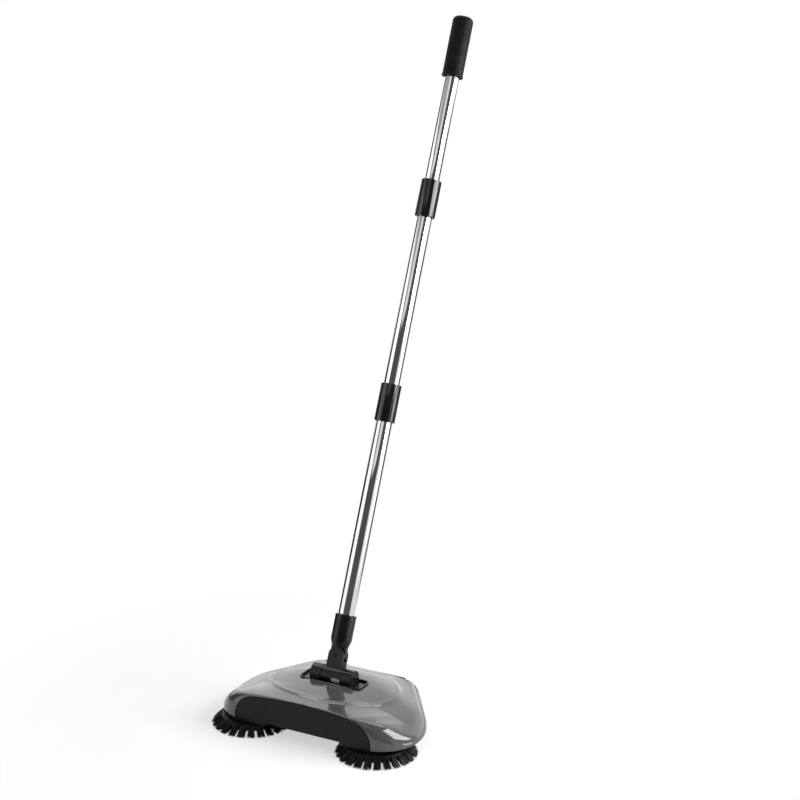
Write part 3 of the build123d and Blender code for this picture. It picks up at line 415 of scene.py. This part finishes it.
# Shoulder: an oval ridge in front of the island that dies out along the sides
SHOULDER = {
    "y": 20 * MM, "x_reach": 110 * MM, "y_reach": 145 * MM, "end_y": -48 * MM, "end_fade": 50 * MM,
    "lip": 0.9 * MM, "lip_width": 10 * MM, "lip_round": 1.2 * MM,
    "drop": 0.5 * MM, "step": 14 * MM, "fade": 50 * MM,
}
# Both lines grow from nothing at the spring line to their full depth at 1 / 1.6 of the way up
CREASE_GAIN = 1.6

FOOT_ROUND = 0.8 * MM

# Front corners: they lean in with height, most of all a little behind the front, and less to the rear
CORNER_LEAN = 0.085
CORNER_LEAN_RISE = 28 * MM
CORNER_LEAN_START = 48 * MM
CORNER_LEAN_FULL_Y = -36 * MM
CORNER_LEAN_FADE = 80 * MM

# Fineness of the cover's mesh: along each section, from front to rear, and round its lips
FOOT_STEPS = 3
EDGE_STEPS = 28
CROWN_STEPS = 170
FRONT_STATIONS = 56
REAR_STATIONS = 140
INSIDE_EVERY = 5
LIP_STEPS = 8

# Bracket's tray: its corners, the gap round it, and how its two ends reach past the solid's
TRAY_CORNER = 8 * MM
TRAY_GAP = 0.3 * MM
TRAY_REACH = 3.4 * MM
TRAY_REACH_FROM = 34 * MM
TRAY_REACH_RUN = 5 * MM
TRAY_FLOOR_END = 40.7 * MM

# Wings: the raised floors of the tray's two ends
WING_INNER = 32 * MM
WING_OUTER = 44 * MM
WING_HALF = 13.6 * MM
WING_TOP = 58.6 * MM
WING_FOOT = 53.1 * MM
WING_INNER_CORNER = 0.5 * MM
WING_OUTER_CORNER = 5 * MM
WING_EDGE = 0.5 * MM
WING_EDGE_ROUND = 0.12 * MM
WING_DOME = 0.05 * MM


def half_width(y):
    """Half the cover's width at y."""
    if y < WIDEST_Y:
        return COVER_HIGH.x - FRONT_CORNER_RADIUS + sqrt(FRONT_CORNER_RADIUS**2 - (y - WIDEST_Y) ** 2)
    if y < TAPER_Y:
        return COVER_HIGH.x - SIDE_RADIUS + sqrt(SIDE_RADIUS**2 - (y - WIDEST_Y) ** 2)
    return COVER_HIGH.x - SIDE_RADIUS * (1 - cos(REAR_TAPER)) - (y - TAPER_Y) * tan(REAR_TAPER)


def crest(y):
    """Height of the cover's middle line at y."""
    if y < CREST_Y:
        return COVER_HIGH.z - FRONT_DROP * ((y - CREST_Y) / (COVER_LOW.y - CREST_Y)) ** 2
    return COVER_HIGH.z - REAR_DROP * ((y - CREST_Y) / (COVER_HIGH.y - CREST_Y)) ** 2


def edge_radius(y):
    """Radius between the cover's side and top at y."""
    if y < WIDEST_Y:
        share = (y - COVER_LOW.y) / (WIDEST_Y - COVER_LOW.y)
        return EDGE_RADIUS_FRONT + share * (EDGE_RADIUS_SIDE - EDGE_RADIUS_FRONT)
    share = (y - WIDEST_Y) / (COVER_HIGH.y - WIDEST_Y)
    return EDGE_RADIUS_SIDE + share * (EDGE_RADIUS_REAR - EDGE_RADIUS_SIDE)


def smooth_step(value):
    """0 below 0, 1 above 1, and a smooth rise between."""
    share = min(max(value, 0), 1)
    return share * share * (3 - 2 * share)


def crease(line, x, y):
    """Drop of the surface at an oval line: a lip on it and a dip outside it, which fade to the rear."""
    radius = sqrt((x / line["x_reach"]) ** 2 + ((y - line["y"]) / line["y_reach"]) ** 2)
    outside = (radius - 1) * min(line["x_reach"], line["y_reach"])
    fade = smooth_step((outside - line["step"]) / line["fade"])
    dip = smooth_step(outside / line["step"]) * (1 - fade)
    lip = exp((line["lip_round"] - hypot(outside, line["lip_round"])) / line["lip_width"])
    kept = 1 - smooth_step((y - line["end_y"]) / line["end_fade"])
    return (line["drop"] * dip - line["lip"] * lip) * kept


def cover_ring(y, inset, sculpted):
    """Points of the cover's section at y from foot to foot, drawn in by inset."""
    width = half_width(y) - inset
    top = crest(y) - inset
    corner = edge_radius(y) - inset
    rise = top - SPRING_Z
    run = width - corner
    crown = (run**2 + rise**2 - corner**2) / (2 * (rise - corner))
    tangent = atan2(run, crown - rise)
    bend = FOOT_ROUND if sculpted else -FOOT_ROUND
    half = []
    for i in range(FOOT_STEPS + 1):
        turn = pi / (2 * FOOT_STEPS) * i
        half.append((width - bend * (1 - sin(turn)), COVER_LOW.z + FOOT_ROUND * (1 - cos(turn))))
    half.append((width, (COVER_LOW.z + SPRING_Z) / 2))
    for i in range(EDGE_STEPS):
        turn = pi / 2 + (tangent - pi / 2) * i / EDGE_STEPS
        half.append((run + corner * sin(turn), SPRING_Z + corner * cos(turn)))
    for i in range(CROWN_STEPS):
        turn = tangent * (1 - i / CROWN_STEPS)
        half.append((crown * sin(turn), top - crown + crown * cos(turn)))
    ahead = smooth_step((y - COVER_LOW.y) / CORNER_LEAN_START)
    behind = 1 - smooth_step((y - CORNER_LEAN_FULL_Y) / CORNER_LEAN_FADE)
    lean = CORNER_LEAN * (ahead * behind)
    half = [(x * (1 - lean * smooth_step((z - COVER_LOW.z) / CORNER_LEAN_RISE)), z) for x, z in half]
    ring = half + [(0, top)] + [(-x, z) for x, z in reversed(half)]
    if sculpted:
        upper = [smooth_step((z - SPRING_Z) / (top - SPRING_Z) * CREASE_GAIN) for x, z in ring]
        dips = [crease(ISLAND, x, y) + crease(SHOULDER, x, y) for x, z in ring]
        ring = [(x, z - dip * share) for (x, z), dip, share in zip(ring, dips, upper)]
    return [Vector((x, y, z)) for x, z in ring]


def cut_opening(cover_shell):
    """Cuts the opening that the bracket's tray sits in, with a thin gap all round."""
    low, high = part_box("pole_bracket")
    reach_x, reach_y = high.x + TRAY_REACH + TRAY_GAP, high.y + TRAY_GAP
    signs = ((1, 1), (-1, 1), (-1, -1), (1, -1))
    outline = rounded([(reach_x * i, reach_y * j, TRAY_CORNER + TRAY_GAP) for i, j in signs], 10)
    count = len(outline)
    points = [(x, y, z) for z in (SPRING_Z, COVER_HIGH.z + TRAY_CORNER) for x, y in outline]
    faces = [tuple(range(count)), tuple(range(2 * count - 1, count - 1, -1))]
    for i in range(count):
        beside = (i + 1) % count
        faces.append((i, beside, count + beside, count + i))
    form = form_of(points, faces)
    bmesh.ops.recalc_face_normals(form, faces=form.faces)
    cutter = mesh_object("tray_cutter", form)
    cut = cover_shell.modifiers.new("opening", "BOOLEAN")
    cut.operation = "DIFFERENCE"
    cut.solver = "EXACT"
    cut.object = cutter
    applied(cover_shell)
    cover_shell.data.set_sharp_from_angle(angle=SHARP_FROM)
    bpy.data.objects.remove(cutter)


def cover():
    """Grey cover as one closed shell, with rounded front and rear lips and the bracket's opening."""
    stations = []
    for i in range(FRONT_STATIONS):
        turn = FRONT_CORNER_TURN * (1 - i / FRONT_STATIONS)
        stations.append(WIDEST_Y - FRONT_CORNER_RADIUS * sin(turn))
    for i in range(REAR_STATIONS + 1):
        stations.append(WIDEST_Y + (COVER_HIGH.y - WIDEST_Y) * i / REAR_STATIONS)
    lip = []
    for i in range(LIP_STEPS + 1):
        turn = pi * i / LIP_STEPS
        lip.append((COVER_WALL / 2 * (1 - cos(turn)), COVER_WALL / 2 * (1 - sin(turn))))
    front, rear = stations[0], stations[-1]
    outer = [(y, 0, True) for y in stations if front + COVER_WALL / 2 < y < rear - COVER_WALL / 2]
    rear_lip = [(rear - back, inset, inset < COVER_WALL / 4) for inset, back in lip]
    inner = [(y, COVER_WALL, False) for y, inset, sculpted in outer[::-INSIDE_EVERY]]
    front_lip = [(front + back, COVER_WALL - inset, inset > COVER_WALL * 3 / 4) for inset, back in lip]
    rings = [cover_ring(*ring) for ring in outer + rear_lip + inner + front_lip]
    count = len(rings[0])
    points = [point for ring in rings for point in ring]
    faces = []
    for i in range(len(rings)):
        ring, beside = i * count, (i + 1) % len(rings) * count
        faces += [(ring + j, ring + j + 1, beside + j + 1, beside + j) for j in range(count - 1)]
    form = form_of(points, faces)
    form.verts.ensure_lookup_table()
    for foot in (0, count - 1):
        rim = [form.verts[i * count + foot] for i in range(len(rings))]
        edges = [form.edges.get((rim[i - 1], rim[i])) for i in range(len(rim))]
        bmesh.ops.contextual_create(form, geom=edges)
    made = piece("cover_shell", form, GREY_ABS, "sweeper_body", ("top_shell",))
    cut_opening(made)


cover()
for name, width, material, slot in (
    ("front_panel", 0.6 * MM, PANEL_ABS, "black_panel"),
    ("pole_yoke", 0.8 * MM, BLACK_ABS, "black_plastic"),
    ("pole_socket", 0.6 * MM, BLACK_ABS, "black_plastic"),
    ("brush_disc_right", 0.5 * MM, INNER_ABS, "black_plastic"),
    ("brush_disc_left", 0.5 * MM, INNER_ABS, "black_plastic"),
):
    softened(name, width, material)

# Bracket: its tray's two ends reach further out beside the ears, and the screws' holes keep their places

bracket = softened("pole_bracket", 0.7 * MM, BLACK_ABS)
for vertex in bracket.data.vertices:
    away = abs(vertex.co.x)
    share = min(max((away - TRAY_REACH_FROM) / TRAY_REACH_RUN, 0), 1)
    if vertex.co.z < WING_FOOT:
        share = 1 if away > TRAY_FLOOR_END else 0
    vertex.co.x += share * TRAY_REACH if vertex.co.x > 0 else -share * TRAY_REACH

# Dust box: the top of its rear face falls away at both ends, as the cover above it does

FASCIA_FLAT = 36 * MM
FASCIA_FALL = 1.6 * MM
box_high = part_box("dust_box")[1]
dust_box = softened("dust_box", 0.5 * MM, INNER_ABS)
for vertex in dust_box.data.vertices:
    if vertex.co.y > COVER_HIGH.y and vertex.co.z > COVER_LOW.z:
        end = max(0, (abs(vertex.co.x) - FASCIA_FLAT) / (box_high.x - FASCIA_FLAT))
        rise = (vertex.co.z - COVER_LOW.z) / (box_high.z - COVER_LOW.z)
        vertex.co.z -= FASCIA_FALL * end**2 * rise

# Pole: three tubes with broken edges, two sleeves and the grip

TUBE_EDGE = 0.12 * MM
SLEEVE_EDGE = 1.1 * MM
SLEEVE_LIP = 0.3 * MM
SAME_BORE = 0.05 * MM
GRIP_RIM_TOP = 1.2 * MM
GRIP_RIM_EDGE = 0.5 * MM
GRIP_RIM_SHOULDER = 0.6 * MM
GRIP_NECK_TOP = 3.6 * MM
GRIP_NECK_ROUND = 2 * MM
GRIP_CROWN = 6 * MM

for name in ("lower_tube", "middle_tube", "upper_tube"):
    foot, top, bore, radius = pole_span(name)
    corners = [(foot, bore), (top, bore), (top, radius), (foot, radius)]
    profile = rounded([(along, out, TUBE_EDGE) for along, out in corners], 3)
    piece(f"{name}_drawn", turned(profile, 128), STAINLESS, BODY_OF[name], (name,))

for name in ("lower_collar", "upper_collar"):
    foot, top, bore, radius = pole_span(name)
    spots = pole_places(name)
    foot_bore = min(out for along, out in spots if along < foot + SLEEVE_EDGE / 4)
    bush_top = max(along for along, out in spots if abs(out - foot_bore) < SAME_BORE)
    corners = [(foot, foot_bore, SLEEVE_LIP), (foot, radius, SLEEVE_EDGE), (top, radius, SLEEVE_EDGE)]
    corners += [(top, bore, SLEEVE_LIP), (bush_top, bore, 0), (bush_top, foot_bore, 0)]
    sleeve = turned(rounded(corners))
    piece(f"{name}_moulded", sleeve, SLEEVE_ABS, BODY_OF[name], (name,))

foot, top, _, rim_radius = pole_span("hand_grip")
spots = pole_places("hand_grip")
bore = min(out for along, out in spots if along < foot + TUBE_EDGE)
grip_radius = max(out for along, out in spots if along > (foot + top) / 2)
bore_end = max(along for along, out in spots if abs(out - bore) < SAME_BORE)
corners = [(foot, bore, SLEEVE_LIP), (foot, rim_radius, GRIP_RIM_EDGE)]
corners += [(foot + GRIP_RIM_TOP, rim_radius, GRIP_RIM_SHOULDER)]
corners += [(foot + GRIP_NECK_TOP, grip_radius, GRIP_NECK_ROUND), (top, grip_radius, GRIP_CROWN)]
corners += [(top, 0, 0), (bore_end, 0, 0), (bore_end, bore, 0)]
grip = turned(rounded(corners, 10))
piece("hand_grip_dipped", grip, GRIP_PVC, "upper_pole", ("hand_grip",))

# Smooth floors of the tray's two ends, beside the ears


def tray_wing(tag, side):
    """Raised floor at one end of the tray, rounded to the tray's corners and slightly domed."""
    corners = [(WING_INNER, -WING_HALF, WING_INNER_CORNER), (WING_OUTER, -WING_HALF, WING_OUTER_CORNER)]
    corners += [(WING_OUTER, WING_HALF, WING_OUTER_CORNER), (WING_INNER, WING_HALF, WING_INNER_CORNER)]
    outline = rounded(corners, 8)
    middle = Vector(((WING_INNER + WING_OUTER) / 2, 0))
    levels = [(WING_FOOT, 1.0), (WING_TOP - WING_EDGE, 1.0), (WING_TOP - WING_EDGE_ROUND, 0.97)]
    levels += [(WING_TOP, 0.9)] + [(WING_TOP + WING_DOME, share) for share in (0.6, 0.3, 0)]
    count = len(outline)
    points = []
    for z, share in levels:
        spots = [middle + (Vector(spot) - middle) * share for spot in outline]
        points += [(side * x, y, z) for x, y in spots]
    faces = [tuple(range(count))]
    for i in range(len(levels) - 1):
        for j in range(count):
            low, beside = i * count + j, i * count + (j + 1) % count
            faces.append((low, beside, beside + count, low + count))
    piece(f"tray_wing_{tag}", form_of(points, faces), BLACK_ABS, "sweeper_body")


tray_wing("right", 1)
tray_wing("left", -1)

# Bare plate on the front of the neck's barrel

PLATE_HALF = 6.4 * MM
PLATE_RADIUS = 11.5 * MM
PLATE_ARC = (radians(-20), radians(7))
PLATE_X = 8 * MM
PLATE_THICK = 0.25 * MM
PLATE_CORNER = 1.2 * MM


def bare_plate():
    """Small plate bent round the barrel, with rounded corners."""
    low, high = PLATE_ARC
    arcs, spans = 12, 16
    height = (high - low) * PLATE_RADIUS
    grids = []
    for radius in (PLATE_RADIUS - PLATE_THICK, PLATE_RADIUS + PLATE_THICK):
        grid = []
        for i in range(arcs + 1):
            near = min(height * i / arcs, height * (arcs - i) / arcs, PLATE_CORNER)
            half = PLATE_HALF - PLATE_CORNER + sqrt(PLATE_CORNER**2 - (PLATE_CORNER - near) ** 2)
            turn = low + (high - low) * i / arcs
            for j in range(spans + 1):
                x = PLATE_X + half * (2 * j / spans - 1)
                grid.append(PIVOT + Vector((x, -radius * cos(turn), radius * sin(turn))))
        grids.append(grid)
    points = grids[0] + grids[1]
    row, lift = spans + 1, len(grids[0])
    faces = []
    for i in range(arcs):
        for j in range(spans):
            corner = i * row + j
            patch = (corner, corner + 1, corner + row + 1, corner + row)
            faces += [patch, tuple(lift + k for k in patch)]
    rim = list(range(spans)) + [i * row + spans for i in range(arcs)]
    rim += [arcs * row + j for j in range(spans, 0, -1)] + [i * row for i in range(arcs, 0, -1)]
    for here, beside in zip(rim, rim[1:] + rim[:1]):
        faces.append((here, beside, lift + beside, lift + here))
    piece("bare_plate", form_of(points, faces), BARE_PLATE, "pole_neck")


bare_plate()

# Bristles: real filaments are about 0.3 mm and far more, so these are a little thicker and fewer

FILAMENT = 0.6 * MM
FILAMENT_TAPER = 0.3
FILAMENT_STOPS = (0, 0.35, 0.7, 1)

# Side brush: the ring under its disc, and tufts that fan out from it. The fall of the roots over a tuft's
# depth and the bow are in millimetres.
RING_WIDTH = 6 * MM
RING_DEPTH = 3 * MM
RING_INSET = 0.4 * MM
RING_WALL = 1.2 * MM
TUFTS = 24
TUFT_STRANDS = 130
TUFT_ROOT_WIDTH = 7.8 * MM
TUFT_TIP_WIDTH = 10.4 * MM
TUFT_SPREAD = 1.8 * MM
TUFT_STRAY = 0.025
TUFT_DEPTH = 8 * MM
TUFT_UNEVEN = 0.5 * MM
TUFT_LIFT = 0.4 * MM
TUFT_ROOT_UNDER = 0.6 * MM
TUFT_ROOT_SLOPE = 12
TUFT_ROOT_FALL = 6
TUFT_RISE = 0.5
TUFT_BOW = (0.3, 1.0)

# Roller: a thin skin round its core, and rows of filaments along it
ROLLER_SKIN = 2 * MM
ROLLER_SKIN_GAP = 0.1 * MM
ROLLER_SKIN_EDGE = 0.05 * MM
ROLLER_ROWS = 6
ROLLER_ROW_STRANDS = 220
ROLLER_ROW_WIDTH = 2.4 * MM
ROLLER_ROW_LENGTH = 0.97
ROLLER_FAN = 2
ROLLER_ROOT = 1 * MM
ROLLER_UNEVEN = 0.7 * MM
ROLLER_STRAY = 0.5 * MM
ROLLER_BOW = 0.2 * MM


def strand(form, root, tip, bow):
    """One filament from root to tip as a four-sided rod that bows sideways and thins to its end."""
    run = tip - root
    side = run.orthogonal().normalized()
    over = run.cross(side).normalized()
    rings = []
    for share in FILAMENT_STOPS:
        middle = root + run * share + bow * 4 * share * (1 - share)
        reach = FILAMENT / 2 * (1 - FILAMENT_TAPER * share)
        rings.append([form.verts.new(middle + arm * reach) for arm in (side, over, -side, -over)])
    for low, high in zip(rings, rings[1:]):
        for i in range(4):
            form.faces.new((low[i - 1], low[i], high[i], high[i - 1]))
    form.faces.new(rings[0])
    form.faces.new(rings[-1])


def side_brush(tag):
    """Tufts of one side brush, set in a ring under its disc and fanned out and down to the floor."""
    node = f"brush_bristles_{tag}"
    low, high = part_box(node)
    disc_low, disc_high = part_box(f"brush_disc_{tag}")
    centre = Vector(((low.x + high.x) / 2, (low.y + high.y) / 2, 0))
    reach = (high.x - low.x) / 2 + TUFT_SPREAD
    edge = (disc_high.x - disc_low.x) / 2
    ring_foot = disc_low.z - RING_DEPTH
    ring = [(disc_low.z, edge - RING_WIDTH), (disc_low.z, edge)]
    ring += [(ring_foot, edge - RING_INSET), (ring_foot, edge - RING_WIDTH)]
    form = turned(ring, middle=centre, axis=UP)
    for tuft in range(TUFTS):
        middle = 2 * pi * tuft / TUFTS
        for _ in range(TUFT_STRANDS):
            place = random.uniform(-0.5, 0.5)
            depth = random.random()
            root_turn = middle + place * TUFT_ROOT_WIDTH / edge
            tip_turn = middle + (place + random.gauss(0, TUFT_STRAY)) * TUFT_TIP_WIDTH / reach
            root_radius = edge - RING_INSET - depth * (RING_WIDTH - RING_WALL)
            tip_radius = reach - depth * TUFT_DEPTH - random.random() * TUFT_UNEVEN
            root_z = disc_high.z - TUFT_ROOT_UNDER - min(depth * TUFT_ROOT_SLOPE, TUFT_ROOT_FALL) * MM
            tip_z = low.z + FILAMENT / 2 + random.random() * TUFT_LIFT
            root = centre + Vector((root_radius * cos(root_turn), root_radius * sin(root_turn), root_z))
            tip = centre + Vector((tip_radius * cos(tip_turn), tip_radius * sin(tip_turn), tip_z))
            outward = Vector((cos(middle), sin(middle), TUFT_RISE))
            strand(form, root, tip, outward * random.uniform(*TUFT_BOW) * MM)
    piece(f"brush_tufts_{tag}", form, BRISTLE_NYLON, f"brush_{tag}", (node,))


def roller_brush():
    """Rows of filaments along the sweeping roller, set in a thin skin."""
    low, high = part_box("roller_bristles")
    centre = (low + high) / 2
    core_low, core_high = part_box("roller_core")
    core = (core_high.z - core_low.z) / 2
    skin = core + ROLLER_SKIN
    inside = core + ROLLER_SKIN_GAP
    reach = (high.x - low.x) / 2
    tip_radius = Vector(JOINTS["roller_spin"]["pos_m"]).z - low.z
    ends = [(-reach, inside), (-reach, skin), (reach, skin), (reach, inside)]
    profile = rounded([(*corner, ROLLER_SKIN_EDGE) for corner in ends], 2)
    form = turned(profile, 64, centre, ACROSS, BACK)
    for row in range(ROLLER_ROWS):
        turn = 2 * pi * row / ROLLER_ROWS
        for _ in range(ROLLER_ROW_STRANDS):
            x = random.uniform(-reach, reach) * ROLLER_ROW_LENGTH
            place = random.uniform(-0.5, 0.5) * ROLLER_ROW_WIDTH
            length = tip_radius - FILAMENT - random.random() * ROLLER_UNEVEN
            root_turn = turn + place / skin
            tip_turn = turn + place * ROLLER_FAN / tip_radius
            sunk = skin - ROLLER_ROOT
            root = centre + Vector((x, cos(root_turn) * sunk, sin(root_turn) * sunk))
            tip_x = x + random.gauss(0, ROLLER_STRAY)
            tip = centre + Vector((tip_x, cos(tip_turn) * length, sin(tip_turn) * length))
            strand(form, root, tip, Vector((random.gauss(0, ROLLER_BOW), 0, 0)))
    piece("roller_rows", form, BRISTLE_NYLON, "roller", ("roller_bristles",))


for tag in SIDES:
    side_brush(tag)
roller_brush()

# Solids that stay as they are take the finish of their slot, and the pole's two pins are blacked

FINISHES = {
    "black_plastic": INNER_ABS,
    "steel": ZINC_STEEL,
    "black_rubber": RUBBER,
    "white_nylon": WHITE_NYLON,
    "black_fibre": BRISTLE_NYLON,
    "bright_tube": STAINLESS,
    "grey_cover": GREY_ABS,
    "black_panel": PANEL_ABS,
}
for part in frame["record"]["subparts"]:
    mesh = frame["nodes"][part["node"]].data
    mesh.materials.clear()
    mesh.materials.append(FINISHES[part["material_slot"]])
for name in ("tilt_pin", "swivel_pin"):
    frame["nodes"][name].data.materials[0] = BLACKED_STEEL

# Stage: floor, lights, screens, white studio and camera

WHITE = (1, 1, 1, 1)
DULL_LIGHT = 0.56
FLOOR_RADIUS = 0.58
FLOOR_FADE = 0.36
FLOOR_RIM = 0.02
FLOOR_LIFT = 0.55

# Far screens and lit cards of the studio, as shiny pieces mirror them. Each row of tones is by direction
# in degrees from +X towards +Y. A tone of 1 is no screen but the white background.
LEFT_TONES = ((-180, 0.03), (-168, 0.03), (-163, 1.42), (-115, 1.42), (-108, 0.1), (-26, 0.1))
RIGHT_GAP = ((-20, 1), (46, 1))
RIGHT_LAMP = ((-20, 1), (2, 1), (6, 7.5), (26, 7.5), (33, 1), (46, 1))
LOW_REAR = ((52, 0.12), (102, 0.12), (108, 1), (132, 1), (138, 0.03), (180, 0.03))
MIDDLE_REAR = ((58, 2.2), (104, 2.2), (112, 1.7), (160, 1.7), (166, 0.03), (180, 0.03))
SIDE_REAR = (
    (-18, 0.2), (44, 0.2), (58, 2.1), (104, 2.1), (112, 1.7), (160, 1.7), (170, 0.4), (180, 0.4),
)
HIGH_FRONT = (
    (-180, 1.5), (-163, 0.3), (-116, 0.6), (-109, 0.25), (-103, 0.25), (-94, 1), (-63, 1), (-56, 0.1),
    (-26, 0.1), (-18, 0.2), (44, 0.2),
)
HIGH_TONES = HIGH_FRONT + ((60, 1.7), (180, 1.6))
HIGH_LAMP = HIGH_FRONT + ((60, 5), (165, 5), (180, 1.6))

# Lowest and highest place of each row, in degrees over the floor, and its tones
SCREEN_BANDS = (
    (-89, -10, LEFT_TONES + RIGHT_GAP + LOW_REAR),
    (-7, -4, LEFT_TONES + RIGHT_LAMP + LOW_REAR),
    (0, 4, LEFT_TONES + RIGHT_LAMP + MIDDLE_REAR),
    (7, 15, LEFT_TONES + RIGHT_GAP + MIDDLE_REAR),
    (19, 30, LEFT_TONES + SIDE_REAR),
    (31.6, 50, HIGH_TONES),
    (52, 62, HIGH_LAMP),
    (64, 89, HIGH_TONES),
)
SCREEN_ROWS = [(height, tones) for low, high, tones in SCREEN_BANDS for height in (low, high)]
SCREEN_DISTANCE = 30
SCREEN_STEP = 3

CAMERA_PLACE = (1.1585, -2.003, 1.0951)
CAMERA_TILT = radians(74.317)
CAMERA_TURN = radians(27.981)
CAMERA_ROLL = radians(0.6)
CAMERA_LENS = 85
CAMERA_WIDTH = 36


def mixed(tree, share, first, second):
    """Two shaders mixed by the second one's share."""
    return add(tree, "ShaderNodeMixShader", {0: share, 1: first, 2: second}).outputs[0]


def seen_directly(tree):
    """1 for what the camera sees, and for what shiny and clear pieces show of it."""
    path = add(tree, "ShaderNodeLightPath").outputs
    seen = path["Is Camera Ray"]
    for ray in ("Is Glossy Ray", "Is Transmission Ray"):
        seen = add(tree, "ShaderNodeMath", {0: seen, 1: path[ray]}, operation="MAXIMUM").outputs[0]
    return seen


def direction(turn, height):
    """Direction at a turn from +X towards +Y and a height, both in degrees."""
    flat = Vector((cos(radians(turn)), sin(radians(turn)), 0)) * cos(radians(height))
    return flat + UP * sin(radians(height))


def floor():
    """Pale round floor that fades out before its edge and keeps a light shadow."""
    material, tree, shader, place = finish(
        "matt_white_studio_floor", Roughness=0.9, Specular_IOR_Level=0.2
    )
    tint(tree, shader, place, 60, 0xF6F6F4, 0xF9F9F7)
    away = add(tree, "ShaderNodeVectorMath", {0: place}, operation="LENGTH").outputs["Value"]
    edges = (FLOOR_RADIUS - FLOOR_FADE, FLOOR_RADIUS - FLOOR_RIM)
    fade = ranged(tree, away, edges, interpolation_type="SMOOTHSTEP")
    lift = add(tree, "ShaderNodeMath", {0: seen_directly(tree), 1: FLOOR_LIFT}, operation="MULTIPLY")
    white = add(tree, "ShaderNodeEmission", {"Color": WHITE})
    pale = mixed(tree, lift.outputs[0], shader.outputs[0], white.outputs[0])
    clear = add(tree, "ShaderNodeBsdfTransparent")
    shown = mixed(tree, fade, pale, clear.outputs[0])
    tree.links.new(shown, tree.nodes["Material Output"].inputs["Surface"])
    form = bmesh.new()
    bmesh.ops.create_circle(form, cap_ends=True, radius=FLOOR_RADIUS, segments=96)
    made = mesh_object("floor", form, material)


def softbox(name, turn, height, distance, size, radiance):
    """Rectangular light aimed at the body, at a turn from +X towards +Y and a height in degrees."""
    light = bpy.data.lights.new(name, "AREA")
    light.shape = "RECTANGLE"
    light.size, light.size_y = size
    light.energy = radiance * pi * size[0] * size[1]
    made = bpy.data.objects.new(name, light)
    arm = direction(turn, height)
    made.location = arm * distance
    made.rotation_euler = arm.to_track_quat("Z", "Y").to_euler()
    bpy.context.scene.collection.objects.link(made)


def tone_at(stops, angle):
    """Tone at an angle between stops of (degrees, tone)."""
    for (left, low), (right, high) in zip(stops, stops[1:]):
        if angle <= right:
            return low + (high - low) * (angle - left) / (right - left)


def screens():
    """Screens round the studio, open where the background shows, that only shiny pieces see."""
    material = bpy.data.materials.new("studio_screen_cloth")
    material.use_nodes = True
    material.cycles.emission_sampling = "NONE"
    tree = material.node_tree
    tone = add(tree, "ShaderNodeAttribute", attribute_name="tone").outputs["Color"]
    glow = add(tree, "ShaderNodeEmission", {"Color": tone})
    tree.links.new(glow.outputs[0], tree.nodes["Material Output"].inputs["Surface"])
    angles = {stop for height, stops in SCREEN_ROWS for stop, shade in stops}
    angles = sorted(angles | set(range(-180, 181, SCREEN_STEP)))
    form = bmesh.new()
    shade = form.verts.layers.float_color.new("tone")
    grid = []
    for height, stops in SCREEN_ROWS:
        row = []
        for angle in angles:
            vertex = form.verts.new(direction(angle, height) * SCREEN_DISTANCE)
            vertex[shade] = [tone_at(stops, angle)] * 3 + [1]
            row.append(vertex)
        grid.append(row)
    for low, high in zip(grid, grid[1:]):
        for i in range(len(angles) - 1):
            patch = (low[i], low[i + 1], high[i + 1], high[i])
            if any(vertex[shade][0] != 1 for vertex in patch):
                form.faces.new(patch)
    loose = [vertex for vertex in form.verts if not vertex.link_faces]
    bmesh.ops.delete(form, geom=loose, context="VERTS")
    made = mesh_object("studio_screens", form, material)
    for ray in ("camera", "diffuse", "transmission", "volume_scatter", "shadow"):
        setattr(made, f"visible_{ray}", False)


def studio():
    """White background to the camera and to shiny and clear pieces, and plain light for dull ones."""
    world = bpy.data.worlds.new("white_studio")
    world.use_nodes = True
    tree = world.node_tree
    tree.nodes.clear()
    plain = add(tree, "ShaderNodeBackground", {"Color": WHITE, "Strength": DULL_LIGHT})
    white = add(tree, "ShaderNodeBackground", {"Color": WHITE, "Strength": 1.0})
    shown = mixed(tree, seen_directly(tree), plain.outputs[0], white.outputs[0])
    add(tree, "ShaderNodeOutputWorld", {"Surface": shown})
    bpy.context.scene.world = world


floor()
softbox("key_right", turn=18, height=36, distance=1.7, size=(1.15, 0.78), radiance=11.0)
softbox("fill_left", turn=-140, height=35, distance=1.9, size=(0.9, 1.2), radiance=0.6)
screens()
studio()

camera = bpy.data.objects.new("camera", bpy.data.cameras.new("camera"))
camera.data.lens = CAMERA_LENS
camera.data.sensor_width = CAMERA_WIDTH
camera.location = CAMERA_PLACE
level = Euler((CAMERA_TILT, 0, CAMERA_TURN)).to_matrix()
camera.rotation_euler = (level @ Matrix.Rotation(CAMERA_ROLL, 3, "Z")).to_euler()
bpy.context.scene.collection.objects.link(camera)
bpy.context.scene.camera = camera
bpy.context.scene.view_settings.view_transform = "Standard"
